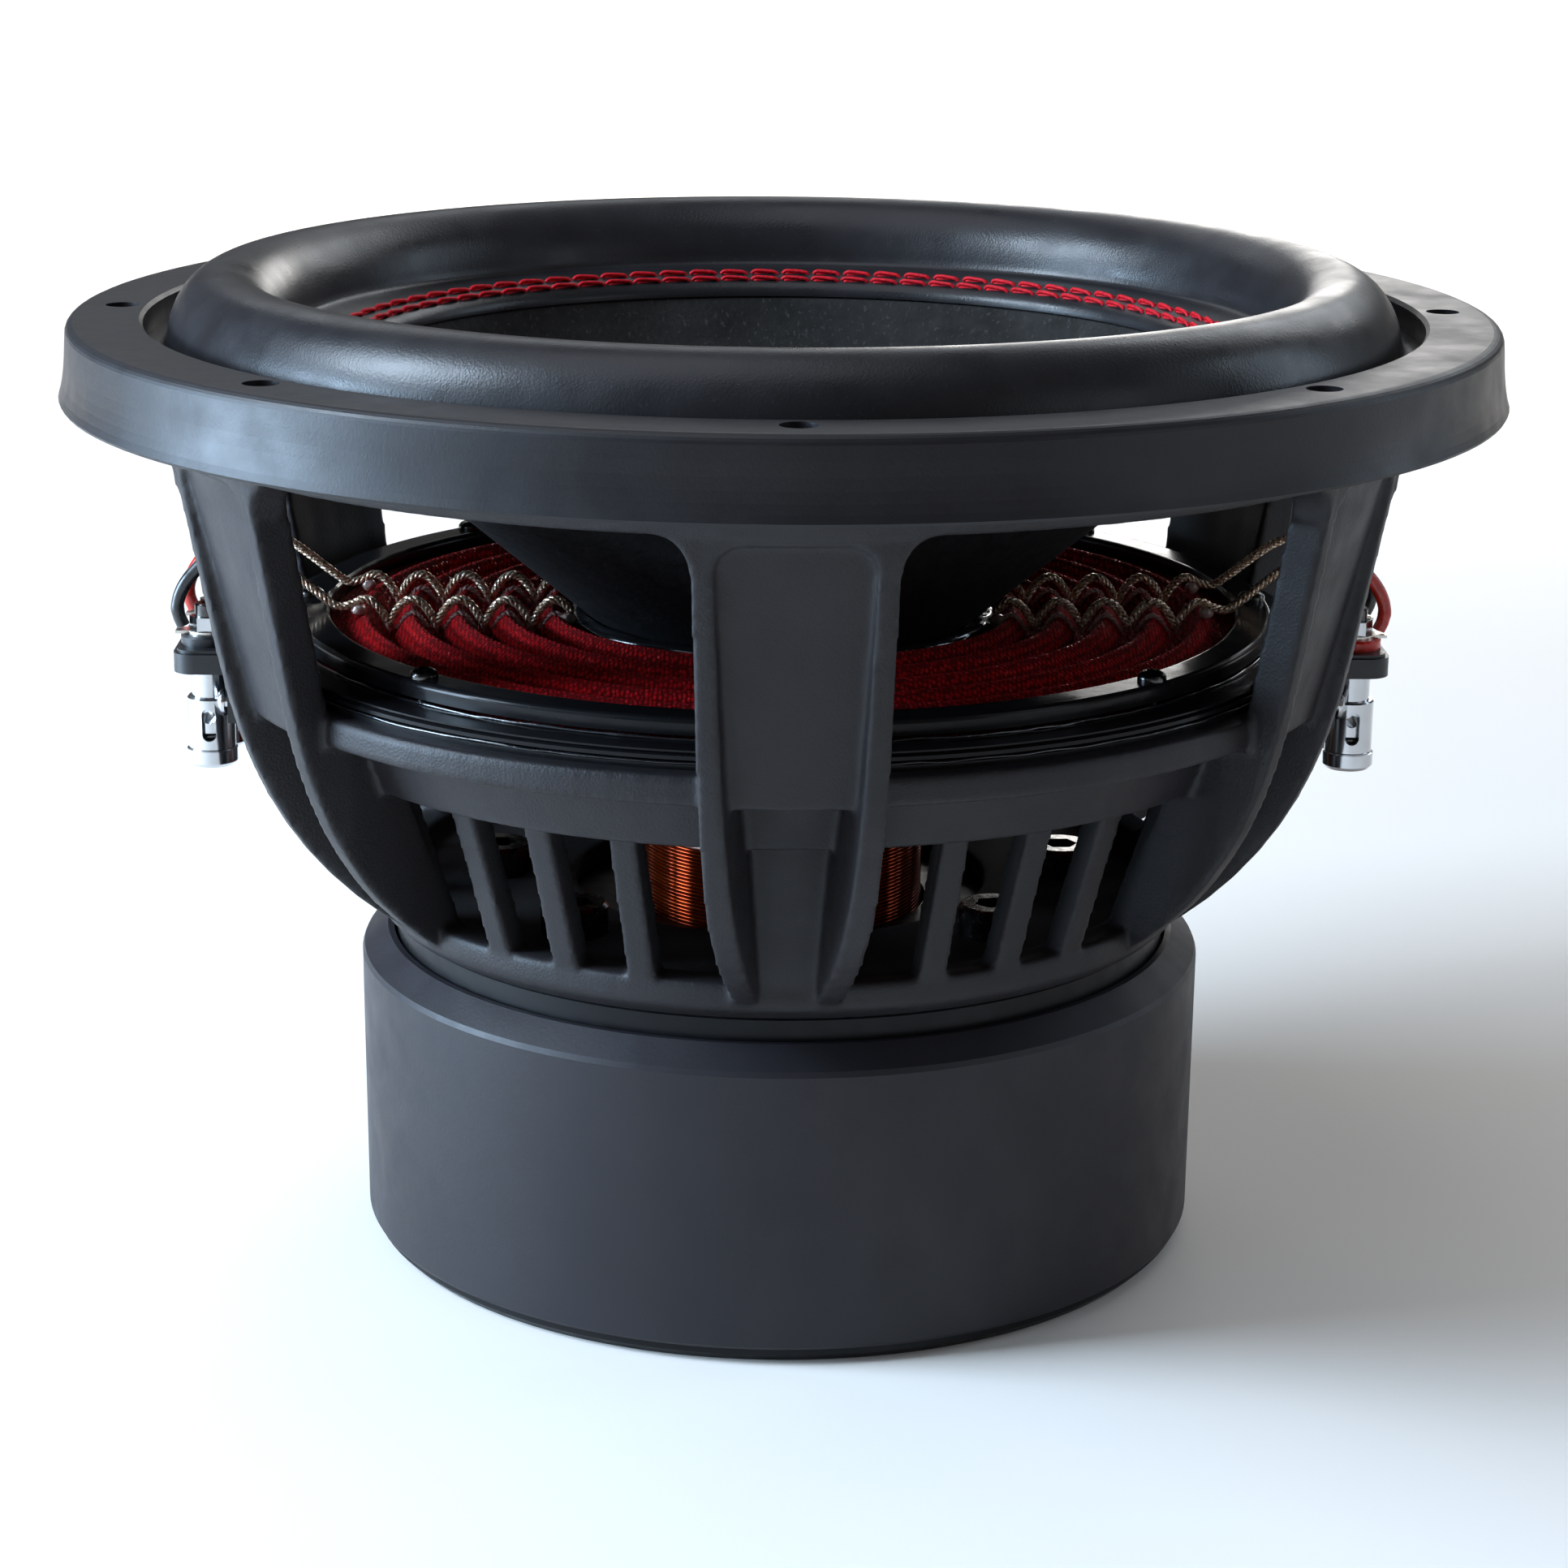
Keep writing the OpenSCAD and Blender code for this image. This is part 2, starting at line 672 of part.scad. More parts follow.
module bracket_screws() {
    seat_x = sqrt(pow(landing_r + 2.6, 2) - pow(bracket_screw_y - 3, 2));
    color(chrome)
    for (side = [-1, 1])
        for (y = [-bracket_screw_y, bracket_screw_y])
            translate([side * (seat_x + 0.1), y, bracket_screw_z])
                rotate([0, side * 90, 0]) button_screw(2.8, 1.8, 1.5, 9);
}

module terminal_posts(side) {
    color(chrome)
    at_terminals(side)
        difference() {
            union() {
                translate([0, 0, post_low_z])
                    cylinder(r = post_r, h = bracket_z - post_low_z, $fn = 64);
                translate([0, 0, bracket_z - 0.5])
                    cylinder(r = 2.4, h = collar_h + lug_h + nut_h + 0.5, $fn = 48);
            }
            translate([0, 0, push_low_z + window_mid + 1.5])
                rotate([90, 0, 0]) cylinder(r = 1.5, h = 20, center = true, $fn = 32);
        }
}

module terminal_collar(side, end) {
    translate([side * terminal_x, end * terminal_pitch / 2, bracket_z])
        rotate_extrude($fn = 64)
            polygon([[2.5, 0], [6.3, 0], [6.3, collar_h - 0.5], [5.8, collar_h], [2.5, collar_h]]);
}

module terminal_collars_red() {
    color("red") {
        terminal_collar(-1, 1);
        terminal_collar(1, -1);
    }
}

module terminal_collars_black() {
    color(gloss_black) {
        terminal_collar(-1, -1);
        terminal_collar(1, 1);
    }
}

module terminal_lugs() {
    color(tinsel)
    for (side = [-1, 1])
        for (end = [-1, 1])
            corner(side, end)
                translate([terminal_x, terminal_pitch / 2, bracket_z + collar_h])
                    difference() {
                        union() {
                            cylinder(r = 4.6, h = lug_h, $fn = 48);
                            translate([0, -2, 0]) cube([7.4, 4, lug_h]);
                        }
                        translate([0, 0, -1]) cylinder(r = 2.5, h = 3, $fn = 48);
                    }
}

module terminal_nuts() {
    color(chrome)
    for (side = [-1, 1])
        at_terminals(side)
            translate([0, 0, bracket_z + collar_h + lug_h])
                difference() {
                    cylinder(r = 4.3, h = nut_h, $fn = 6);
                    translate([0, 0, -1]) cylinder(r = 2.45, h = nut_h + 2, $fn = 48);
                }
}

module terminal_caps() {
    color(gloss_black)
    for (side = [-1, 1])
        at_terminals(side)
            translate([0, 0, bracket_z + collar_h + lug_h + nut_h])
                difference() {
                    rotate_extrude($fn = 48)
                        polygon([[0, 0], [3, 0], [3, 2.6], [2.6, 3], [0, 3]]);
                    translate([0, 0, 1.2]) cylinder(r = 1.5, h = 3, $fn = 6);
                }
}

module push_sleeve(side, end) {
    color(chrome)
    translate([side * terminal_x, end * terminal_pitch / 2, push_low_z])
        difference() {
            rotate_extrude($fn = 64)
                polygon([[0, 0], [push_r - 0.9, 0], [push_r, 0.9], [push_r, push_ring_h - 0.2],
                         [push_body_r - 0.2, push_ring_h], [push_body_r, push_ring_h + 0.3],
                         [push_body_r, push_h - 0.4], [push_body_r - 0.4, push_h],
                         [push_bore_r, push_h], [push_bore_r, push_floor], [0, push_floor]]);
            for (s = [-1, 1])
                translate([0, 0, window_mid + s * (window_h - window_w) / 2])
                    rotate([90, 0, 0])
                        cylinder(r = window_w / 2, h = 20, center = true, $fn = 32);
            translate([-window_w / 2, -10, window_mid - (window_h - window_w) / 2])
                cube([window_w, 20, window_h - window_w]);
        }
}

module push_spring(side, end) {
    low = push_low_z + push_floor + spring_wire_r + eps;
    high = post_low_z - spring_wire_r - eps;
    steps = spring_turns * 12;
    coil = [for (i = [0 : steps]) let (a = 360 * i / 12)
        [spring_r * cos(a), spring_r * sin(a), low + (high - low) * i / steps]];
    color(steel)
    translate([side * terminal_x, end * terminal_pitch / 2, 0]) tube(coil, spring_wire_r, 5);
}

basket();
mounting_gasket();
surround();
surround_stitching();
cone();
cone_rim();
dust_cap();
neck_glue();
coil_former();
coil_winding();
spider();
spider_spacer_ring();
spider_clamp_ring();
clamp_ring_screws();
top_plate();
magnet(0);  // magnet_lower
magnet(1);  // magnet_middle
magnet(2);  // magnet_upper
pole_yoke();
motor_boot();
basket_bolts();
lead(-1, -1);  // lead_left_front
lead(-1, 1);  // lead_left_rear
lead(1, -1);  // lead_right_front
lead(1, 1);  // lead_right_rear
lead_sleeve(-1, -1, gloss_black);  // lead_sleeve_left_front
lead_sleeve(-1, 1, "red");  // lead_sleeve_left_rear
lead_sleeve(1, -1, "red");  // lead_sleeve_right_front
lead_sleeve(1, 1, gloss_black);  // lead_sleeve_right_rear
terminal_bracket(-1);  // terminal_bracket_left
terminal_bracket(1);  // terminal_bracket_right
bracket_screws();
terminal_posts(-1);  // terminal_posts_left
terminal_posts(1);  // terminal_posts_right
terminal_collars_red();
terminal_collars_black();
terminal_lugs();
terminal_nuts();
terminal_caps();
push_sleeve(-1, -1);  // push_sleeve_left_front
push_sleeve(-1, 1);  // push_sleeve_left_rear
push_sleeve(1, -1);  // push_sleeve_right_front
push_sleeve(1, 1);  // push_sleeve_right_rear
push_spring(-1, -1);  // push_spring_left_front
push_spring(-1, 1);  // push_spring_left_rear
push_spring(1, -1);  // push_spring_right_front
push_spring(1, 1);  // push_spring_right_rear
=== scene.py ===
"""Looks of a car subwoofer driver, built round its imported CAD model. Lengths are in metres."""
import math

import bmesh
import bpy
import numpy as np
from mathutils import Matrix, Vector, noise


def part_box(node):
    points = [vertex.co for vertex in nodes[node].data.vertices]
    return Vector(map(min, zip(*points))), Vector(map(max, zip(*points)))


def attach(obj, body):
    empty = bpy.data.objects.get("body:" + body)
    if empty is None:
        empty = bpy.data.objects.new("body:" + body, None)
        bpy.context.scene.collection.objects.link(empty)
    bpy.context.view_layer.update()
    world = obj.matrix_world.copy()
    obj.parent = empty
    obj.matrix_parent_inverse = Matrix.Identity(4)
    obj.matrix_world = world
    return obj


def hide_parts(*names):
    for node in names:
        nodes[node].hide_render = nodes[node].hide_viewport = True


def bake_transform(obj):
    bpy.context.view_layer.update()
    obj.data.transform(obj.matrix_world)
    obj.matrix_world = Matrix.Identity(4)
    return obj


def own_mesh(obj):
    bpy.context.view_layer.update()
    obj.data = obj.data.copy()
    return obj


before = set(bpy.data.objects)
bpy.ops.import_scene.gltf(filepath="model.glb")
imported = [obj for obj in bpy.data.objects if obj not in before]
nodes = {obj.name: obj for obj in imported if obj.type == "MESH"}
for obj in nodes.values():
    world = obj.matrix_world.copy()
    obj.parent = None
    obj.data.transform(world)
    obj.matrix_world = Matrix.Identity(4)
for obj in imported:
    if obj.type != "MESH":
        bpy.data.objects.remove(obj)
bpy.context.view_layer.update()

scene = bpy.context.scene
MM = 0.001
SIDES = {"left": -1, "right": 1}
ENDS = {"front": -1, "rear": 1}
CORNERS = [(side, end) for side in SIDES for end in ENDS]


# ---------- mesh helpers ----------


def make_object(name, verts, faces, crease=35.0):
    """A smooth-shaded mesh object, sharp where its faces meet at more than crease degrees."""
    mesh = bpy.data.meshes.new(name)
    mesh.from_pydata([tuple(v) for v in verts], [], [tuple(f) for f in faces])
    work = bmesh.new()
    work.from_mesh(mesh)
    bmesh.ops.recalc_face_normals(work, faces=work.faces)
    work.to_mesh(mesh)
    work.free()
    mesh.shade_smooth()
    mesh.set_sharp_from_angle(angle=math.radians(crease))
    piece = bpy.data.objects.new(name, mesh)
    scene.collection.objects.link(piece)
    return piece


def lathe(name, profile, segments=256, crease=35.0, shape=None):
    """Turns a closed outline of (radius, height) about the axis. shape moves each point."""
    outline = np.array(profile, float)
    angles = np.linspace(0, 2 * math.pi, segments, endpoint=False)
    verts = []
    for angle in angles:
        for i, (r, z) in enumerate(outline):
            if shape:
                r, z = shape(r, z, angle, i)
            verts.append((r * math.sin(angle), -r * math.cos(angle), z))
    count = len(outline)
    faces = []
    for k in range(segments):
        a, b = k * count, (k + 1) % segments * count
        for i in range(count):
            j = (i + 1) % count
            faces.append((a + i, a + j, b + j, b + i))
    return make_object(name, verts, faces, crease)


def frames_along(points):
    """The route as an array, and two unit vectors across it that turn as little as possible."""
    path = np.array(points, float)
    tangents = np.gradient(path, axis=0)
    tangents /= np.linalg.norm(tangents, axis=1)[:, None]
    side = np.cross(tangents[0], (0.0, 0.0, 1.0))
    if np.linalg.norm(side) < 0.1:
        side = np.cross(tangents[0], (0.0, 1.0, 0.0))
    across = []
    for t in tangents:
        side = side - t * side.dot(t)
        side = side / np.linalg.norm(side)
        across.append(side)
    across = np.array(across)
    return path, across, np.cross(tangents, across)


def tube(points, radius, sides=10):
    """Vertices and faces of a closed round tube. radius is one number, or one for each point."""
    path, u, v = frames_along(points)
    radii = np.broadcast_to(np.asarray(radius, float), (len(path),))
    angles = np.linspace(0, 2 * math.pi, sides, endpoint=False)
    rings = [
        p + r * (math.cos(a) * du + math.sin(a) * dv)
        for p, r, du, dv in zip(path, radii, u, v)
        for a in angles
    ]
    faces = []
    for i in range(len(path) - 1):
        for k in range(sides):
            n = (k + 1) % sides
            faces.append((i * sides + k, i * sides + n, (i + 1) * sides + n, (i + 1) * sides + k))
    faces.append(tuple(range(sides)))
    faces.append(tuple((len(path) - 1) * sides + k for k in range(sides)))
    return rings, faces


def twisted(points, strands, strand_r, pitch, sides=6):
    """Several strands laid in a helix about a route, as one set of vertices and faces."""
    path, u, v = frames_along(points)
    steps = np.linalg.norm(np.diff(path, axis=0), axis=1)
    along = np.concatenate([[0], np.cumsum(steps)])
    offset = strand_r / math.sin(math.pi / strands) if strands > 2 else strand_r * 0.92
    parts = []
    for s in range(strands):
        turn = 2 * math.pi * (along / pitch + s / strands)
        centre = path + offset * (np.cos(turn)[:, None] * u + np.sin(turn)[:, None] * v)
        parts.append(tube(centre, strand_r, sides))
    return joined(parts)


def joined(parts):
    """Several sets of vertices and faces as one."""
    verts, faces = [], []
    for part_verts, part_faces in parts:
        start = len(verts)
        verts.extend(part_verts)
        faces.extend(tuple(start + i for i in face) for face in part_faces)
    return verts, faces


def blob(centre, size, seed, rough=0.25):
    """A small uneven lump, as vertices and faces."""
    work = bmesh.new()
    bmesh.ops.create_icosphere(work, subdivisions=3, radius=1.0)
    verts = []
    for vert in work.verts:
        push = 1 + rough * noise.noise(vert.co * 1.4 + Vector((seed, seed * 0.7, 0)))
        verts.append([c + s * w * push for c, s, w in zip(centre, size, vert.co)])
    faces = [tuple(v.index for v in face.verts) for face in work.faces]
    work.free()
    return verts, faces


def arc(centre, rx, rz, start, stop, steps):
    """Points of an elliptic arc in the radius-height plane, angles in degrees."""
    return [
        (centre[0] + rx * math.cos(math.radians(a)), centre[1] + rz * math.sin(math.radians(a)))
        for a in np.linspace(start, stop, steps)
    ]


def refined(points, count):
    """A smooth route with count points through a given list (Catmull-Rom)."""
    p = np.array(points, float)
    p = np.vstack([2 * p[0] - p[1], p, 2 * p[-1] - p[-2]])
    out = []
    for t in np.linspace(0, len(points) - 1, count):
        i = min(int(t), len(points) - 2)
        f = t - i
        a, b, c, d = p[i : i + 4]
        out.append(
            0.5 * (2 * b + (c - a) * f + (2 * a - 5 * b + 4 * c - d) * f**2
                   + (3 * b - a - 3 * c + d) * f**3)
        )
    return np.array(out)


def scaled(values, factor):
    """A colour or a point times a factor."""
    return tuple(value * factor for value in values)


def flex(piece, moving_r, fixed_r):
    """Bakes a piece's transform into its mesh; it does not bend it. moving_r and fixed_r are not
    used.
    """
    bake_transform(piece)


# ---------- material helpers ----------

MOTOR_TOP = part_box("top_plate")[1].z
# Where shade is painted within the basket's vents
VENT_LOW = MOTOR_TOP + 7 * MM
VENT_HIGH = MOTOR_TOP + 45 * MM
VENT_LEAN = 12.5 / 38
VENT_R = 90 * MM
VENT_FADE = 4 * MM


class Surface:
    """A Principled material with short calls for its textures, which lie in the row frame."""

    def __init__(self, name, color, roughness, metallic=0.0, **sockets):
        self.material = bpy.data.materials.new(name)
        self.material.use_nodes = True
        self.tree = self.material.node_tree
        self.shader = self.tree.nodes["Principled BSDF"]
        self.set("Base Color", (*color, 1.0))
        self.set("Roughness", roughness)
        self.set("Metallic", metallic)
        for key, value in sockets.items():
            self.set(key.replace("_", " "), value)
        self.place = self.node("ShaderNodeTexCoord").outputs["Object"]
        self.normal = None

    def set(self, socket, value):
        self.shader.inputs[socket].default_value = value

    def node(self, kind, **values):
        """Adds a node and sets its sockets or properties by name."""
        made = self.tree.nodes.new(kind)
        for key, value in values.items():
            if key in made.inputs:
                made.inputs[key].default_value = value
            else:
                setattr(made, key, value)
        return made

    def link(self, source, target):
        self.tree.links.new(source, target)

    def noise(self, size, detail=3.0, stretch=None):
        """Noise whose blotches are about size metres across."""
        made = self.node("ShaderNodeTexNoise", Scale=1 / size, Detail=detail)
        self.link(self.stretched(stretch), made.inputs["Vector"])
        return made.outputs["Fac"]

    def cells(self, size):
        """Distance from the middle of cells about size metres across."""
        made = self.node("ShaderNodeTexVoronoi", Scale=1 / size)
        self.link(self.place, made.inputs["Vector"])
        return made.outputs["Distance"]

    def stretched(self, stretch):
        """Where a texture lies, scaled along each axis if stretch is given."""
        if stretch is None:
            return self.place
        mapping = self.node("ShaderNodeMapping", Scale=stretch)
        self.link(self.place, mapping.inputs["Vector"])
        return mapping.outputs["Vector"]

    def ramp(self, source, stops):
        """stops are (place, grey or colour)."""
        made = self.node("ShaderNodeValToRGB")
        elements = made.color_ramp.elements
        while len(elements) < len(stops):
            elements.new(0.5)
        for element, (place, color) in zip(elements, stops):
            element.position = place
            element.color = (*color, 1) if isinstance(color, tuple) else (color, color, color, 1)
        self.link(source, made.inputs["Fac"])
        return made.outputs["Color"]

    def math(self, operation, a, b=None):
        made = self.node("ShaderNodeMath", operation=operation)
        for k, value in enumerate((a, b)):
            if value is None:
                continue
            if isinstance(value, (int, float)):
                made.inputs[k].default_value = value
            else:
                self.link(value, made.inputs[k])
        return made.outputs[0]

    def mixed(self, factor, a, b):
        """The colour a where factor is 0, b where it is 1."""
        made = self.node("ShaderNodeMix", data_type="RGBA")
        for key, value in ((6, a), (7, b)):
            if isinstance(value, tuple):
                made.inputs[key].default_value = (*value, 1)
            else:
                self.link(value, made.inputs[key])
        self.link(factor, made.inputs[0])
        return made.outputs[2]

    def painted_shade_in_vents(self):
        """1 within the vents, where shade is painted into the colour, 0 on the outer faces of their
        leaning bars.
        """
        place = self.node("ShaderNodeSeparateXYZ")
        self.link(self.place, place.inputs[0])
        square = self.math("ADD", self.math("MULTIPLY", place.outputs["X"], place.outputs["X"]),
                           self.math("MULTIPLY", place.outputs["Y"], place.outputs["Y"]))
        height = self.math("MAXIMUM", place.outputs["Z"], VENT_LOW)
        height = self.math("MINIMUM", height, VENT_HIGH)
        rise = self.math("MULTIPLY", self.math("SUBTRACT", height, VENT_LOW), VENT_LEAN)
        radius = self.math("SUBTRACT", self.math("SQRT", square), rise)
        return self.ramp(radius, [(VENT_R, 1.0), (VENT_R + VENT_FADE, 0.0)])

    def color(self, source):
        self.link(source, self.shader.inputs["Base Color"])

    def rough(self, source, low, high):
        """Roughness between low and high, in the pattern of source."""
        self.link(self.ramp(source, [(0.3, low), (0.7, high)]), self.shader.inputs["Roughness"])

    def bump(self, height, distance, strength=1.0):
        """Adds relief: distance is its height in metres."""
        made = self.node("ShaderNodeBump", Strength=strength, Distance=distance)
        self.link(height, made.inputs["Height"])
        if self.normal:
            self.link(self.normal, made.inputs["Normal"])
        self.normal = made.outputs["Normal"]
        self.link(self.normal, self.shader.inputs["Normal"])

    def onto(self, *pieces):
        """Gives each piece this material alone."""
        for piece in pieces:
            piece.data.materials.clear()
            piece.data.materials.append(self.material)


# ---------- materials ----------


def powder_coat():
    """Fine-textured black powder coat on cast aluminium, with painted shade within the vents."""
    s = Surface("powder_coat", (0.0165, 0.0148, 0.0167), 0.55, Specular_IOR_Level=0.32)
    inside = s.painted_shade_in_vents()
    patches = s.ramp(s.noise(35 * MM, 4), [(0.3, (0.0140, 0.0126, 0.0143)),
                                           (0.7, (0.0190, 0.0170, 0.0192))])
    # Painted shade: the colour goes near black within the vents.
    s.color(s.mixed(inside, patches, (0.0035, 0.0035, 0.004)))
    rough = s.ramp(s.noise(9 * MM, 5), [(0.3, 0.43), (0.7, 0.56)])
    s.link(s.mixed(inside, rough, (0.9, 0.9, 0.9)), s.shader.inputs["Roughness"])
    s.bump(s.noise(14 * MM, 3), 0.10 * MM, 0.5)
    s.bump(s.cells(0.6 * MM), 0.07 * MM, 0.7)
    s.bump(s.noise(0.35 * MM, 2), 0.04 * MM, 0.5)
    return s


def moulded_rubber(name, color, low, high, grain, glint_paint_and_relief=0.0):
    """Moulded rubber: cloudy sheen, fine grain, and faint pale flecks in its colour, which the last
    argument brightens into painted glints while it deepens the grain.
    """
    s = Surface(name, color, (low + high) / 2, Specular_IOR_Level=0.38)
    base = s.ramp(s.noise(28 * MM, 5), [(0.25, scaled(color, 0.85)), (0.75, scaled(color, 1.2))])
    flecks_and_painted_glints = s.ramp(s.noise(0.9 * MM, 2), [(0.66, 0.0), (0.74, 1.0)])
    # Pale flecks of grain in the colour, partly painted glints where the last argument is set.
    s.color(s.mixed(s.math("MULTIPLY", flecks_and_painted_glints, 0.25 + glint_paint_and_relief), base, scaled(color, 2.4)))
    s.rough(s.noise(11 * MM, 6), low, high)
    s.bump(s.noise(grain, 3), 0.05 * MM, 0.5)
    s.bump(s.cells(grain * 0.6), 0.03 * MM, 0.4 + glint_paint_and_relief)
    return s


def fibre_paper():
    """Pressed black fibre: matt, with short pale hairs, and painted shade where it faces down."""
    s = Surface("fibre_paper", (0.016, 0.0155, 0.015), 0.85, Specular_IOR_Level=0.2)
    hairs = s.ramp(s.noise(0.8 * MM, 4, (1, 1, 0.35)), [(0.60, 0.0), (0.72, 1.0)])
    base = s.ramp(s.noise(18 * MM, 4), [(0.3, (0.014, 0.0135, 0.013)),
                                        (0.7, (0.028, 0.027, 0.026))])
    front = s.mixed(s.math("MULTIPLY", hairs, 0.55), base, (0.085, 0.082, 0.078))
    painted_underside_shade = s.ramp(s.noise(4 * MM, 5), [(0.35, (0.0010, 0.0010, 0.0012)),
                                         (0.75, (0.0065, 0.0065, 0.0075))])
    # Painted shade: faces that look down take the near-black colour, faces that look up the fibre
    # with hairs.
    facing = s.node("ShaderNodeSeparateXYZ")
    s.link(s.node("ShaderNodeNewGeometry").outputs["Normal"], facing.inputs[0])
    s.color(s.mixed(s.ramp(facing.outputs["Z"], [(0.0, 0.0), (0.1, 1.0)]), painted_underside_shade, front))
    s.rough(s.noise(3 * MM, 4), 0.75, 0.95)
    s.bump(s.noise(1.6 * MM, 5), 0.25 * MM, 0.8)
    s.bump(s.noise(0.5 * MM, 3), 0.08 * MM, 0.6)
    return s


def woven_cloth():
    """Resin-set red cloth: bead-like crowns of thread, some of them glossy, with painted shade
    between them and painted light on them.
    """
    s = Surface("woven_cloth", (0.5, 0.003, 0.007), 0.5, Specular_IOR_Level=0.22)
    beads = s.node("ShaderNodeTexVoronoi", Scale=1 / (1.0 * MM), Randomness=0.4)
    s.link(s.stretched((1, 1, 0.6)), beads.inputs["Vector"])
    crown = s.ramp(beads.outputs["Distance"], [(0.10, 1.0), (0.62, 0.0)])
    # Painted shade in the gaps between the crowns, painted light on the crowns.
    deep = s.ramp(crown, [(0.05, (0.19, 0.0007, 0.002)), (0.50, (0.60, 0.0022, 0.006)),
                          (0.95, (0.90, 0.005, 0.011))])
    fade = s.ramp(s.noise(16 * MM, 3), [(0.3, (0.70, 0.68, 0.72)), (0.7, (1.0, 1.0, 1.0))])
    tinted = s.node("ShaderNodeMix", data_type="RGBA", blend_type="MULTIPLY")
    tinted.inputs[0].default_value = 1.0
    s.link(deep, tinted.inputs[6])
    s.link(fade, tinted.inputs[7])
    s.color(tinted.outputs[2])
    glossy = s.math("MULTIPLY", crown, s.ramp(s.noise(1.6 * MM, 2), [(0.46, 0.0), (0.56, 1.0)]))
    s.link(s.ramp(glossy, [(0.35, 1.0), (0.8, 0.12)]), s.shader.inputs["Roughness"])
    s.bump(crown, 0.38 * MM, 1.0)
    s.bump(s.noise(0.25 * MM, 2), 0.03 * MM, 0.5)
    return s


def gloss_black():
    """Glossy black plastic with faint moulding waves and dust."""
    s = Surface("gloss_black", (0.007, 0.007, 0.008), 0.12, Specular_IOR_Level=0.18)
    dust = s.ramp(s.noise(0.7 * MM, 3), [(0.68, 0.0), (0.75, 1.0)])
    s.color(s.mixed(s.math("MULTIPLY", dust, 0.4), (0.008, 0.008, 0.009), (0.06, 0.06, 0.065)))
    s.rough(s.noise(8 * MM, 5), 0.10, 0.26)
    s.bump(s.noise(6 * MM, 3), 0.12 * MM, 0.35)
    return s


def wet_glue(name, color):
    """Cured adhesive, wet-looking and uneven."""
    s = Surface(name, color, 0.08, Coat_Weight=1.0, Coat_Roughness=0.03)
    s.color(s.ramp(s.noise(2 * MM, 3), [(0.3, color), (0.7, scaled(color, 1.8))]))
    s.rough(s.noise(3 * MM, 4), 0.04, 0.16)
    s.bump(s.noise(2.2 * MM, 3), 0.35 * MM, 0.8)
    return s


def plated(name, color, low, high):
    """Plated or polished metal, with rubbed marks along its height."""
    s = Surface(name, color, low, metallic=1.0)
    s.color(s.ramp(s.noise(5 * MM, 5), [(0.3, scaled(color, 0.9)), (0.7, color)]))
    s.rough(s.noise(2.2 * MM, 6, (1, 1, 0.15)), low, high)
    s.bump(s.noise(0.5 * MM, 3, (1, 1, 0.06)), 0.006 * MM, 0.4)
    return s


def black_nickel():
    """Dark bright-plated screws."""
    s = Surface("black_nickel", (0.085, 0.083, 0.08), 0.2, metallic=1.0)
    s.color(s.ramp(s.noise(2 * MM, 4), [(0.3, (0.060, 0.058, 0.056)),
                                        (0.7, (0.115, 0.112, 0.108))]))
    s.rough(s.noise(1.5 * MM, 4), 0.12, 0.30)
    s.bump(s.noise(0.4 * MM, 3), 0.015 * MM, 0.4)
    return s


def satin_steel():
    """Black-painted machined steel."""
    s = Surface("satin_steel", (0.006, 0.006, 0.007), 0.42, Specular_IOR_Level=0.2)
    s.color(s.ramp(s.noise(20 * MM, 4), [(0.3, (0.005, 0.005, 0.006)),
                                         (0.7, (0.009, 0.009, 0.010))]))
    s.rough(s.noise(6 * MM, 6), 0.36, 0.52)
    s.bump(s.noise(0.9 * MM, 3), 0.02 * MM, 0.4)
    return s


def ferrite():
    """Dull grey ceramic magnet."""
    s = Surface("ferrite", (0.06, 0.06, 0.063), 0.7)
    s.color(s.ramp(s.noise(4 * MM, 6), [(0.3, (0.045, 0.045, 0.047)), (0.7, (0.08, 0.08, 0.083))]))
    s.rough(s.noise(3 * MM, 4), 0.6, 0.8)
    s.bump(s.noise(1.2 * MM, 5), 0.08 * MM, 0.6)
    return s


def enamelled_copper():
    """Varnished copper wire, deep orange, with the gloss of each turn."""
    s = Surface("enamelled_copper", (0.28, 0.034, 0.003), 0.14, metallic=0.85)
    s.color(s.ramp(s.noise(0.9 * MM, 3, (0.02, 0.02, 1)), [(0.3, (0.19, 0.018, 0.002)),
                                                           (0.7, (0.34, 0.046, 0.004))]))
    s.rough(s.noise(3 * MM, 3, (0.2, 0.2, 2)), 0.09, 0.16)
    return s


def tinsel_braid():
    """Tinned wire plaited with copper."""
    s = Surface("tinsel_braid", (0.86, 0.80, 0.72), 0.35, metallic=0.7)
    s.color(s.ramp(s.cells(0.6 * MM), [(0.2, (0.96, 0.90, 0.82)), (0.5, (0.74, 0.52, 0.34)),
                                       (0.85, (0.22, 0.11, 0.06))]))
    s.rough(s.noise(0.8 * MM, 4), 0.22, 0.45)
    s.bump(s.cells(0.6 * MM), 0.18 * MM, 0.9)
    return s


def sewing_thread(name, dark, light):
    s = Surface(name, light, 0.6, Specular_IOR_Level=0.2)
    s.color(s.ramp(s.noise(0.8 * MM, 4), [(0.3, dark), (0.7, light)]))
    s.rough(s.noise(0.6 * MM, 3), 0.45, 0.75)
    s.bump(s.noise(0.22 * MM, 3), 0.05 * MM, 0.8)
    return s


def wire_jacket(name, color):
    s = Surface(name, color, 0.3, Coat_Weight=0.3, Coat_Roughness=0.15)
    s.color(s.ramp(s.noise(3 * MM, 4), [(0.3, scaled(color, 0.75)), (0.7, color)]))
    s.rough(s.noise(2.5 * MM, 5), 0.22, 0.42)
    s.bump(s.noise(1.8 * MM, 4), 0.10 * MM, 0.6)
    return s


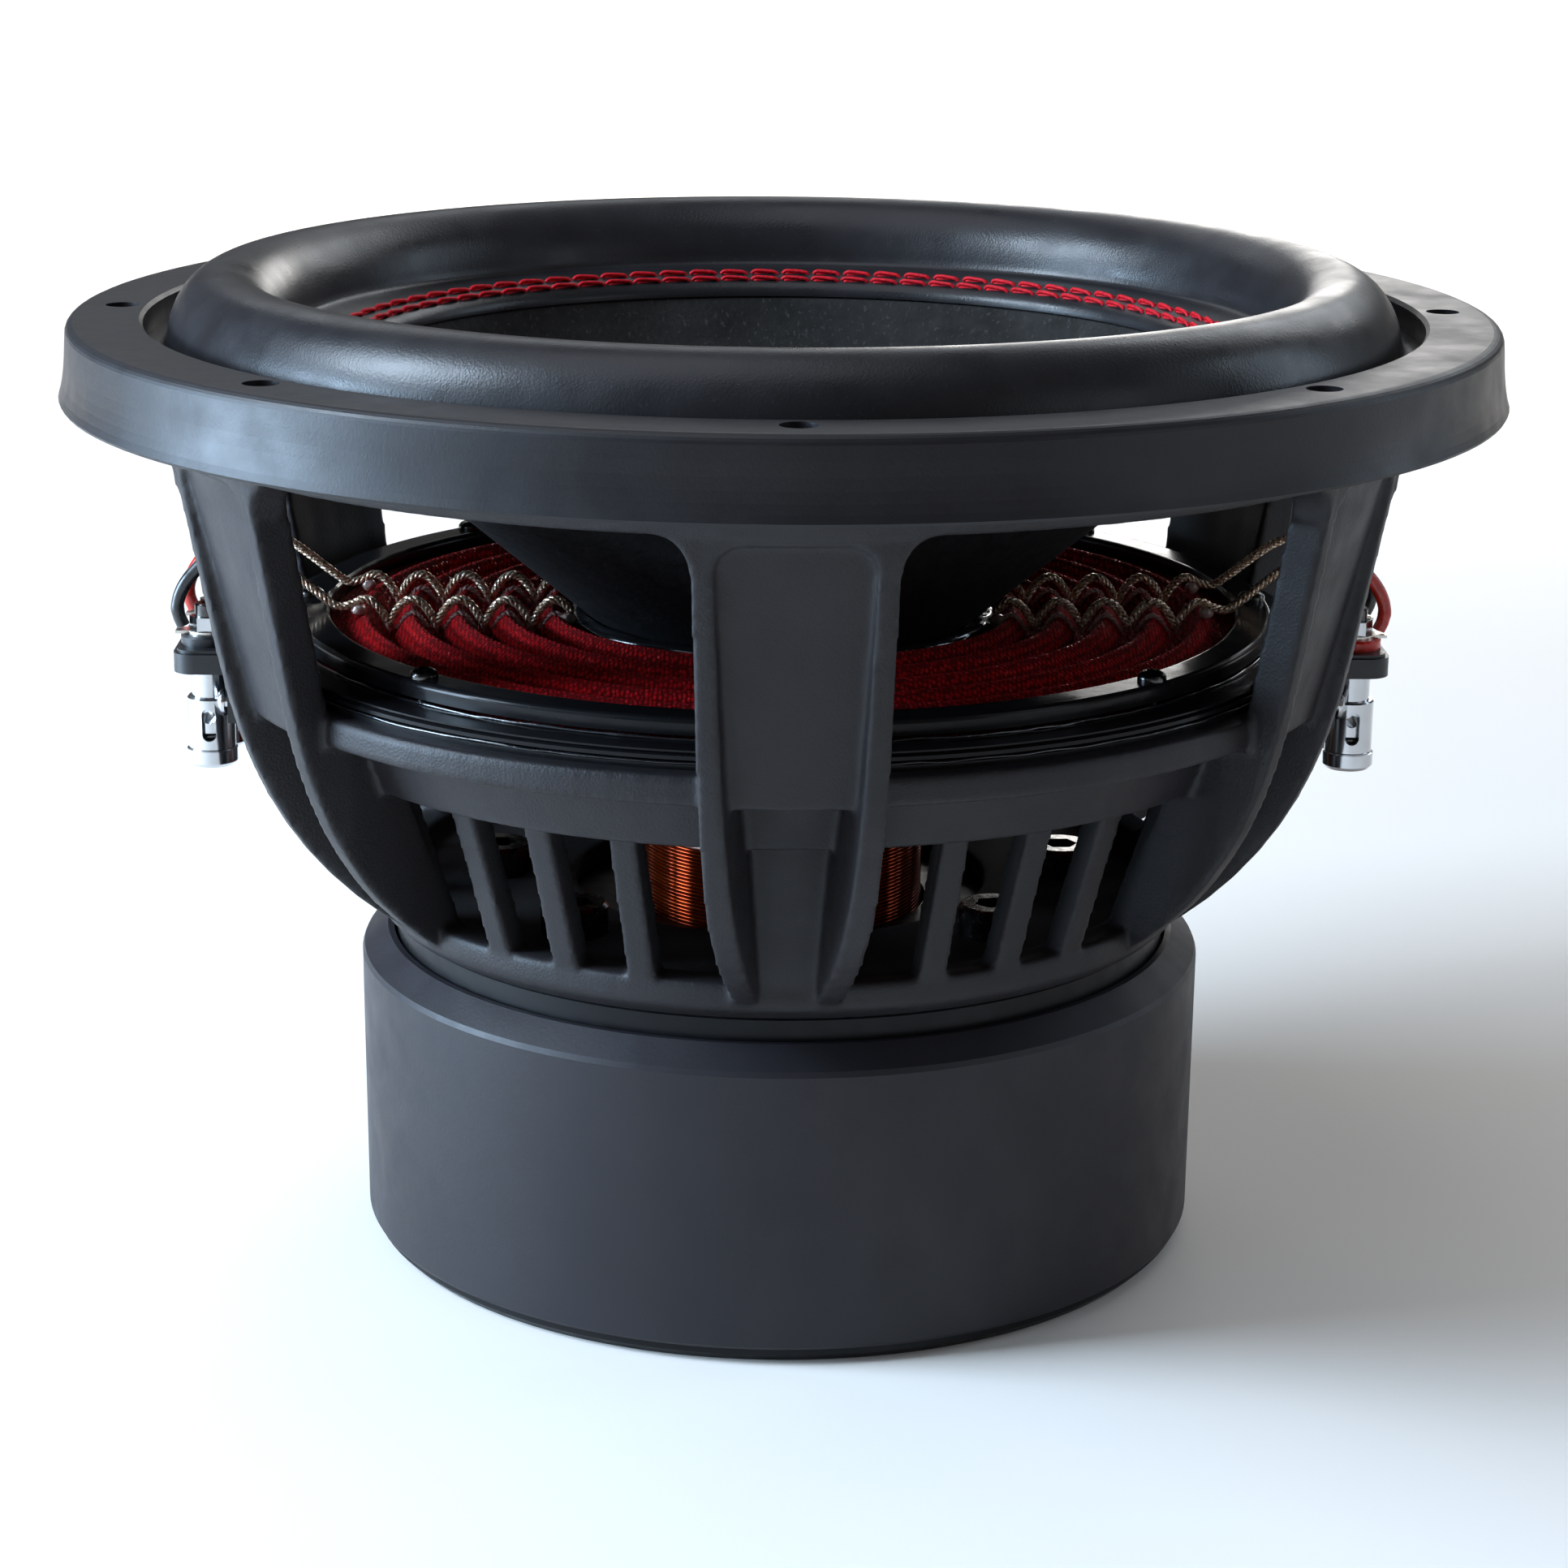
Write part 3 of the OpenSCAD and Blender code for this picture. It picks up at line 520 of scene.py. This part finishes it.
def moulded_plastic(name, color, low, high):
    s = Surface(name, color, (low + high) / 2, Specular_IOR_Level=0.5)
    s.color(s.ramp(s.noise(6 * MM, 4), [(0.3, scaled(color, 0.85)), (0.7, scaled(color, 1.1))]))
    s.rough(s.noise(2.5 * MM, 5), low, high)
    s.bump(s.noise(0.6 * MM, 3), 0.02 * MM, 0.5)
    return s


# ---------- basket, gasket and motor: the CAD solids with their own finish ----------


def soften_edges(piece, voxel, passes):
    """Rounds a casting's edges: a fine remesh, then smoothing, both as modifiers."""
    grid = piece.modifiers.new("casting", "REMESH")
    grid.mode = "VOXEL"
    grid.voxel_size = voxel
    grid.use_smooth_shade = True
    relax = piece.modifiers.new("rounded_edges", "SMOOTH")
    relax.factor = 0.5
    relax.iterations = passes


powder_coat().onto(nodes["basket"])
soften_edges(nodes["basket"], 0.8 * MM, 4)

gasket_rubber = moulded_rubber("gasket_rubber", (0.0097, 0.0090, 0.0110), 0.37, 0.5, 0.8 * MM)
gasket_rubber.onto(nodes["mounting_gasket"])
boot_rubber = moulded_rubber("boot_rubber", (0.0128, 0.0114, 0.0152), 0.43, 0.57, 1.1 * MM)
boot_rubber.onto(nodes["motor_boot"])
satin_steel().onto(nodes["top_plate"], nodes["pole_yoke"])
ferrite().onto(*(nodes[f"magnet_{k}"] for k in ("upper", "middle", "lower")))
chrome = plated("chrome", (0.66, 0.67, 0.69), 0.10, 0.26)
nickel = black_nickel()
nickel.onto(nodes["basket_bolts"])


# ---------- surround ----------

surround_low, surround_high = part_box("surround")
ROLL_R = 125 * MM
ROLL_HALF = 13.2 * MM
ROLL_T = 1.7 * MM
ROLL_FOOT = surround_low.z + 4.95 * MM
ROLL_H = surround_high.z - ROLL_FOOT
FOOT_T = 1.0 * MM
# Bezier points of the inner foot: radius, and height over ROLL_FOOT, in mm
FOOT_BEND = [(95.9, -4.8), (95.9, -1.6), (99.5, 0.2), (108.0, 0.95)]
# Where each row lies along the foot
STITCH_ROWS = (0.73, 0.5)
STITCHES = 82
STITCH_LENGTH = 6.2 * MM
STITCH_DIP = 0.35 * MM
STITCH_RISE = 0.66 * MM
STITCH_WANDER = 0.15 * MM
STITCH_PLY_R = 0.47 * MM
STITCH_TWIST = 24 * MM


def foot_at(t):
    """A point on top of the inner foot and its outward normal. t is 0 at the tip, 1 at the roll."""
    a, b, c, d = (np.array((r * MM, ROLL_FOOT + z * MM)) for r, z in FOOT_BEND)
    place = a * (1 - t) ** 3 + 3 * b * t * (1 - t) ** 2 + 3 * c * t * t * (1 - t) + d * t**3
    slope = (b - a) * (1 - t) ** 2 + 2 * (c - b) * t * (1 - t) + (d - c) * t * t
    slope = slope / np.linalg.norm(slope)
    return place, np.array((-slope[1], slope[0]))


def build_surround():
    """The half roll with soft fillets down to its two feet."""
    outer_r = surround_high.x
    foot = [foot_at(t) for t in np.linspace(0, 1, 17)]
    outer = [tuple(place) for place, _ in foot]
    outer += [(109.6 * MM, ROLL_FOOT + 0.97 * MM), (110.6 * MM, ROLL_FOOT + 1.10 * MM),
              (111.3 * MM, ROLL_FOOT + 1.45 * MM), (111.75 * MM, ROLL_FOOT + 2.1 * MM)]
    outer += arc((ROLL_R, ROLL_FOOT), ROLL_HALF, ROLL_H, 168, 8, 56)
    outer += [(138.3 * MM, ROLL_FOOT + 1.0 * MM), (138.9 * MM, ROLL_FOOT + 0.35 * MM),
              (140 * MM, ROLL_FOOT), (outer_r, ROLL_FOOT), (outer_r, ROLL_FOOT - 1.45 * MM),
              (ROLL_R + ROLL_HALF - ROLL_T, ROLL_FOOT - 1.45 * MM)]
    inner = arc((ROLL_R, ROLL_FOOT), ROLL_HALF - ROLL_T, ROLL_H - ROLL_T, 4, 176, 44)
    under = [tuple(place - FOOT_T * normal) for place, normal in foot[::-1]]
    return lathe("surround_roll", outer + inner + under, 384)


surround = build_surround()
# The roll gets painted glints among the pale flecks of its colour.
moulded_rubber("roll_rubber", (0.013, 0.0125, 0.0148), 0.26, 0.40, 0.9 * MM, 0.35).onto(surround)
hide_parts("surround")
flex(surround, 112 * MM, 138 * MM)


def build_stitches():
    """Two rows of two-ply stitches along the foot, which dive into the rubber at both ends."""
    parts = []
    for row in STITCH_ROWS:
        (row_r, row_z), (out_r, out_z) = foot_at(row)
        span = STITCH_LENGTH / row_r
        for i in range(STITCHES):
            start = 2 * math.pi * i / STITCHES + math.pi / 2
            wander = STITCH_WANDER * noise.noise(Vector((i * 1.7, row * 90, 0)))
            route = []
            for t in np.linspace(0, 1, 15):
                a = start + span * t
                lift = -STITCH_DIP + STITCH_RISE * min(1.0, math.sin(math.pi * t) * 3.5)
                r = row_r + out_r * lift + out_z * wander
                z = row_z + out_z * lift - out_r * wander
                route.append((r * math.cos(a), r * math.sin(a), z))
            parts.append(twisted(route, 2, STITCH_PLY_R, STITCH_TWIST))
    return make_object("surround_thread", *joined(parts), crease=80)


stitches = build_stitches()
sewing_thread("red_thread", (0.42, 0.004, 0.012), (0.80, 0.012, 0.028)).onto(stitches)
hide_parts("surround_stitching")
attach(stitches, "cone_assembly")


# ---------- cone and coil ----------

fibre_paper().onto(nodes["cone"], nodes["cone_rim"], nodes["dust_cap"])
plated("former_foil", (0.60, 0.56, 0.50), 0.25, 0.4).onto(nodes["coil_former"])
WINDING_TURNS = 60


def inner_radius(node):
    """How near a node comes to the axis."""
    places = np.array([vert.co for vert in nodes[node].data.vertices])
    return float(np.hypot(places[:, 0], places[:, 1]).min())


def build_winding():
    """One ridge for each turn of wire."""
    low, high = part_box("coil_winding")
    inner_r = inner_radius("coil_winding")
    pitch = (high.z - low.z) / WINDING_TURNS
    profile = [(inner_r, low.z)]
    for turn in range(WINDING_TURNS):
        middle = low.z + (turn + 0.5) * pitch
        profile += arc((high.x - 0.5 * pitch, middle), 0.5 * pitch, 0.5 * pitch, -84, 84, 8)
    profile.append((inner_r, high.z))
    return lathe("coil_wire", profile, 160, crease=70)


winding = build_winding()
enamelled_copper().onto(winding)
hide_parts("coil_winding")
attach(winding, "cone_assembly")


def build_neck_glue():
    """The bead where the spider meets the cone, uneven all the way round."""
    low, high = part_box("neck_glue")
    outer_r = high.x

    def uneven(r, z, angle, i):
        ripple = noise.noise(Vector((math.cos(angle) * 6, math.sin(angle) * 6, i * 0.35)))
        lift = 1 + 0.35 * ripple
        if r > outer_r - 4 * MM:
            r = min(outer_r, r + 0.5 * MM * ripple)
        return r, low.z + (z - low.z) * lift

    profile = [(outer_r - inward * MM, low.z) for inward in (6.3, 2.2, 0.4)]
    profile += arc((outer_r - 2.6 * MM, low.z), 2.2 * MM, 1.9 * MM, 5, 80, 7)
    profile += [(outer_r - 3.0 * MM, high.z - 0.9 * MM)]
    return lathe("neck_bead", profile, 240, crease=60, shape=uneven)


neck = build_neck_glue()
wet_glue("neck_adhesive", (0.008, 0.008, 0.009)).onto(neck)
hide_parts("neck_glue")
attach(neck, "cone_assembly")


# ---------- spider and its rings ----------

spider_low, spider_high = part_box("spider")
SPIDER_Z = (spider_low.z + spider_high.z) / 2
SPIDER_T = 0.9 * MM
WAVE = (spider_high.z - spider_low.z - SPIDER_T) / 2
PITCH = 10.6 * MM
FIRST_R = 53.5 * MM
ROLLS = 5
LAST_R = FIRST_R + (ROLLS - 1) * PITCH
FLEX_R = (48 * MM, 103 * MM)
BEAD_STEPS = 360
BEAD_WANDER_R = 0.25 * MM
BEAD_WANDER_Z = 0.3 * MM


def spider_height(r):
    """Middle of the cloth at a radius."""
    if r < FIRST_R - PITCH / 4 or r > LAST_R + PITCH / 4:
        return SPIDER_Z
    return SPIDER_Z + WAVE * math.cos(2 * math.pi * (r - FIRST_R) / PITCH)


def build_spider():
    """The corrugated cloth, with a flat edge under the clamp ring."""
    edge = [103 * MM, 105 * MM, 107.5 * MM]
    radii = np.concatenate([np.linspace(45 * MM, 101 * MM, 140), edge])
    top = [(r, spider_height(r) + SPIDER_T / 2) for r in radii]
    bottom = [(r, spider_height(r) - SPIDER_T / 2) for r in radii]
    return lathe("spider_cloth", top + bottom[::-1], 320, crease=60)


spider = build_spider()
woven_cloth().onto(spider)
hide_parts("spider")
flex(spider, *FLEX_R)

gloss_black().onto(nodes["spider_clamp_ring"], nodes["spider_spacer_ring"])
nickel.onto(nodes["clamp_ring_screws"], nodes["terminal_caps"])


def build_ring_glue():
    """Thin uneven beads squeezed out above and below the spacer ring."""
    low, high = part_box("spider_spacer_ring")
    clamp_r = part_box("spider_clamp_ring")[1].x
    upper = (clamp_r + 0.2 * MM, high.z + 0.2 * MM, 0.45 * MM)
    lower = (high.x - 0.1 * MM, low.z + 1.4 * MM, 0.3 * MM)
    parts = []
    for seed, (bead_r, bead_z, size) in enumerate((upper, lower)):
        route, radii = [], []
        for k in range(BEAD_STEPS + 1):
            a = 2 * math.pi * k / BEAD_STEPS
            at = Vector((math.cos(a) * 9, math.sin(a) * 9, seed * 5.0))
            r = bead_r + BEAD_WANDER_R * noise.noise(at)
            z = bead_z + BEAD_WANDER_Z * noise.noise(at * 1.7)
            route.append((r * math.sin(a), -r * math.cos(a), z))
            radii.append(size * (0.75 + 0.7 * abs(noise.noise(at * 2.3))))
        parts.append(tube(route, radii, 6))
    return make_object("ring_adhesive", *joined(parts), crease=80)


ring_glue = build_ring_glue()
wet_glue("ring_adhesive", (0.010, 0.010, 0.012)).onto(ring_glue)
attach(ring_glue, "frame")


# ---------- leads ----------

LEAD_Y = 13 * MM
LEAD_LOW = SPIDER_Z - 0.3 * MM
LEAD_ARCH = 6.7 * MM
LEAD_STRANDS = 4
STRAND_R = 0.44 * MM
STRAND_PITCH = 5.2 * MM
THREAD_LIFT = 0.45 * MM
THREAD_REACH = 3.6 * MM
THREAD_PLY_R = 0.42 * MM
THREAD_TWIST = 2.4 * MM
LOOP_R = 1.35 * MM
LOOP_LEAN = 0.5 * MM
LOOP_WIRE_R = 0.34 * MM
OUTER_KNOT = (1.6 * MM, 1.4 * MM, 1.5 * MM)
INNER_KNOT = (2.0 * MM, 1.8 * MM, 1.7 * MM)
JACKET_R = 1.52 * MM
JACKET_BUMPS = 0.10 * MM
JACKET_TAPER = 0.35 * MM
JACKET_STEPS = 48
# Points of the right rear lead in mm: bare from the spider up, then in its jacket to the terminal
RISING = [(101, 12.9, 148.4), (104.5, 12.7, 150.6), (108, 12.5, 153.4), (111.5, 12.2, 156.2),
          (115, 11.9, 158.6), (118.5, 11.5, 160.2), (122, 11.1, 161)]
JACKET = [(121.7, 11.1, 161), (124.5, 10.7, 161.2), (127.5, 10.3, 160.6), (130.5, 9.9, 159),
          (133.2, 9.5, 156.4), (135.6, 9.3, 153.6), (137.3, 9.1, 150.6), (138.1, 9, 147.6),
          (137.8, 9, 145.2), (136.9, 9, 142.95)]


def lead_x(r):
    """How far to the side a lead is where it crosses a radius."""
    return math.sqrt(r * r - LEAD_Y**2)


def woven_route():
    """Over each roll of the spider in an arch, then up towards the terminals."""
    radii = np.linspace(FIRST_R - PITCH / 3, LAST_R + 2.2 * MM, 150)
    over = [
        (lead_x(r), LEAD_Y,
         LEAD_LOW + LEAD_ARCH * abs(math.cos(math.pi * (r - FIRST_R) / PITCH)) ** 0.7)
        for r in radii
    ]
    rise = refined([over[-1]] + [scaled(p, MM) for p in RISING], 60)
    return over + [tuple(p) for p in rise[1:]]


def mirrored(part, side, end):
    """A copy of the right rear corner's vertices and faces for any corner."""
    verts, faces = part
    return [(v[0] * SIDES[side], v[1] * ENDS[end], v[2]) for v in verts], faces


def lead_threads():
    """The stitches that hold a lead: one over each roll, and one round the lead in each valley."""
    parts = []
    for k in range(ROLLS - 1):
        crest = FIRST_R + k * PITCH
        over = [
            (lead_x(r), LEAD_Y, spider_height(r) + SPIDER_T / 2 + THREAD_LIFT)
            for r in np.linspace(crest - THREAD_REACH, crest + THREAD_REACH, 13)
        ]
        parts.append(twisted(over, 2, THREAD_PLY_R, THREAD_TWIST))
    for k in range(ROLLS - 1):
        x = lead_x(FIRST_R + (k + 0.5) * PITCH)
        loop = [
            (x + LOOP_LEAN * math.sin(a),
             LEAD_Y + LOOP_R * math.cos(a),
             LEAD_LOW + LOOP_R * math.sin(a))
            for a in np.linspace(-0.6, math.pi + 0.6, 12)
        ]
        parts.append(tube(loop, LOOP_WIRE_R, 6))
    return parts


braid = tinsel_braid()
pale_thread = sewing_thread("pale_thread", (0.34, 0.16, 0.15), (0.62, 0.42, 0.38))
clear_glue = wet_glue("clear_adhesive", (0.34, 0.24, 0.21))
jackets = {"red": wire_jacket("red_jacket", (0.50, 0.018, 0.006)),
           "black": wire_jacket("black_jacket", (0.012, 0.012, 0.014))}

route = woven_route()
strands = twisted(route, LEAD_STRANDS, STRAND_R, STRAND_PITCH)
threads = joined(lead_threads())
outer_place = (lead_x(LAST_R + 1.5 * MM), LEAD_Y, spider_height(97 * MM) + 2.0 * MM)
inner_place = (route[0][0] + 0.8 * MM, LEAD_Y, LEAD_LOW + 2.0 * MM)
lumps = joined([blob(outer_place, OUTER_KNOT, 3.1), blob(inner_place, INNER_KNOT, 8.4)])
jacket_route = refined([scaled(p, MM) for p in JACKET], JACKET_STEPS)
jacket_r = np.array([
    JACKET_R + JACKET_BUMPS * noise.noise(Vector((i * 0.3, 0, 0)))
    - JACKET_TAPER * math.exp(-i / 2.5)
    for i in range(JACKET_STEPS)
])
jacket_tube = tube(jacket_route, jacket_r, 16)

for side, end in CORNERS:
    corner = f"{side}_{end}"
    lead = make_object(f"braided_lead_{corner}", *mirrored(strands, side, end), crease=80)
    braid.onto(lead)
    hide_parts(f"lead_{corner}")
    flex(lead, *FLEX_R)

    thread = make_object(f"lead_thread_{corner}", *mirrored(threads, side, end), crease=80)
    pale_thread.onto(thread)
    flex(thread, *FLEX_R)

    lump = make_object(f"lead_glue_{corner}", *mirrored(lumps, side, end), crease=80)
    clear_glue.onto(lump)
    flex(lump, *FLEX_R)

    tint = "red" if (side, end) in (("left", "rear"), ("right", "front")) else "black"
    jacket = make_object(f"lead_jacket_{corner}", *mirrored(jacket_tube, side, end), crease=60)
    jackets[tint].onto(jacket)
    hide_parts(f"lead_sleeve_{corner}")
    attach(jacket, "frame")


# ---------- terminals ----------

bracket = moulded_plastic("bracket_plastic", (0.014, 0.0145, 0.017), 0.3, 0.45)
bracket.onto(nodes["terminal_bracket_left"], nodes["terminal_bracket_right"],
             nodes["terminal_collars_black"])
red_plastic = moulded_plastic("collar_plastic", (0.60, 0.016, 0.008), 0.2, 0.34)
red_plastic.onto(nodes["terminal_collars_red"])
chrome.onto(nodes["terminal_posts_left"], nodes["terminal_posts_right"], nodes["terminal_nuts"],
            nodes["bracket_screws"], *(nodes[f"push_sleeve_{a}_{b}"] for a, b in CORNERS))
plated("tinned_copper", (0.72, 0.68, 0.62), 0.2, 0.35).onto(nodes["terminal_lugs"])
spring_steel = plated("spring_steel", (0.50, 0.51, 0.53), 0.2, 0.35)
SPRING_TURNS = 4.5
SPRING_WIRE_R = 0.25 * MM
SPRING_CLOSING = 0.06


def build_spring(corner):
    """The coil in a push terminal, wound closer at both ends."""
    low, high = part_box(f"push_spring_{corner}")
    centre = (low + high) / 2
    reach = (high.x - low.x) / 2 - SPRING_WIRE_R
    rise = high.z - low.z - 2 * SPRING_WIRE_R
    route = []
    for t in np.linspace(0, 1, 121):
        a = 2 * math.pi * SPRING_TURNS * t
        z = low.z + SPRING_WIRE_R + rise * (t - SPRING_CLOSING * math.sin(2 * math.pi * t))
        route.append((centre.x + reach * math.cos(a), centre.y + reach * math.sin(a), z))
    spring = make_object(f"push_coil_{corner}", *tube(route, SPRING_WIRE_R, 8), crease=80)
    spring_steel.onto(spring)
    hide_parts(f"push_spring_{corner}")
    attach(spring, "frame")
    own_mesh(spring)


for side, end in CORNERS:
    build_spring(f"{side}_{end}")


# ---------- camera, floor and light ----------

ELEVATION = math.radians(15.731)
TURN = math.radians(1.084)
TILT = math.radians(0.476)
DISTANCE = 0.8582
TARGET = Vector((0, 0, 0.1032))
LENS = 84.05
SENSOR = 36
SHIFT = 0.0021
FLOOR_REACH = 12
WHITE = (1.0, 1.0, 1.0)


def build_camera():
    """The photo's viewpoint, fitted to its ellipses."""
    data = bpy.data.cameras.new("camera")
    data.lens = LENS
    data.sensor_width = SENSOR
    data.shift_x = SHIFT
    data.clip_start = 0.05
    camera = bpy.data.objects.new("camera", data)
    scene.collection.objects.link(camera)
    level = math.cos(ELEVATION)
    back = Vector((-math.sin(TURN) * level, -math.cos(TURN) * level, math.sin(ELEVATION)))
    turned = back.to_track_quat("Z", "Y").to_matrix().to_4x4()
    tilted = Matrix.Rotation(TILT, 4, "Z")
    camera.matrix_world = Matrix.Translation(TARGET + DISTANCE * back) @ turned @ tilted
    scene.camera = camera


def area_light(name, place, size, power, color, aim=(0, 0, 0.14), spread=180):
    """A rectangle of light that faces aim. power is in watts and spread in degrees."""
    data = bpy.data.lights.new(name, "AREA")
    data.shape = "RECTANGLE"
    data.size, data.size_y = size
    data.energy = power
    data.color = color
    data.spread = math.radians(spread)
    lamp = bpy.data.objects.new(name, data)
    scene.collection.objects.link(lamp)
    toward = (Vector(aim) - Vector(place)).to_track_quat("-Z", "Y")
    lamp.matrix_world = Matrix.Translation(place) @ toward.to_matrix().to_4x4()


def build_stage():
    """The pale floor and a faint studio sky."""
    work = bmesh.new()
    bmesh.ops.create_grid(work, x_segments=1, y_segments=1, size=FLOOR_REACH)
    mesh = bpy.data.meshes.new("floor")
    work.to_mesh(mesh)
    work.free()
    floor = bpy.data.objects.new("floor", mesh)
    scene.collection.objects.link(floor)
    s = Surface("pale_floor", (0.92, 0.87, 0.82), 0.9, Specular_IOR_Level=0.1)
    s.color(s.ramp(s.noise(0.4, 3), [(0.3, (0.91, 0.86, 0.80)), (0.7, (0.94, 0.89, 0.84))]))
    s.onto(floor)
    world = bpy.data.worlds.new("studio")
    world.use_nodes = True
    background = world.node_tree.nodes["Background"]
    background.inputs["Color"].default_value = (1.0, 0.98, 0.95, 1)
    background.inputs["Strength"].default_value = 0.11
    scene.world = world
    scene.view_settings.view_transform = "Standard"


build_camera()
build_stage()
area_light("window_low", (-1.25, -0.12, 0.27), (0.6, 0.5), 26, (0.55, 0.76, 1.0))
area_light("window_high", (-1.05, -0.15, 0.93), (0.5, 0.5), 22, (0.66, 0.82, 1.0))
area_light("window_front", (-1.20, -0.75, 0.50), (1.1, 1.2), 3.4, (0.62, 0.80, 1.0))
area_light("top_soft", (-0.40, -0.10, 1.70), (1.3, 1.3), 6, (0.90, 0.93, 1.0))
area_light("lamp_back", (0.25, 1.25, 0.45), (0.35, 0.35), 1.8, (1.0, 0.98, 0.95))
area_light("back_high", (0.0, 1.60, 1.25), (1.8, 0.7), 4, (0.90, 0.95, 1.0))
area_light("door_right", (1.30, 0.28, 0.60), (0.4, 0.9), 3.0, (0.66, 0.82, 1.0))
area_light("back_right", (0.90, 1.30, 1.10), (0.8, 0.8), 5, (0.90, 0.95, 1.0))
area_light("fill_right", (1.20, -0.80, 0.50), (0.6, 0.9), 1.4, (0.78, 0.87, 1.0))
area_light("floor_glow", (0.0, 3.2, 2.6), (6.0, 3.2), 120, WHITE, aim=(0, 3.2, 0), spread=60)
for name, x, y in (("left", -4.6, 0.0), ("right", 4.6, 0.0), ("front", 0.0, -4.6)):
    area_light(f"floor_glow_{name}", (x, y, 2.6), (4.0, 4.0), 80, WHITE, aim=(x, y, 0), spread=60)
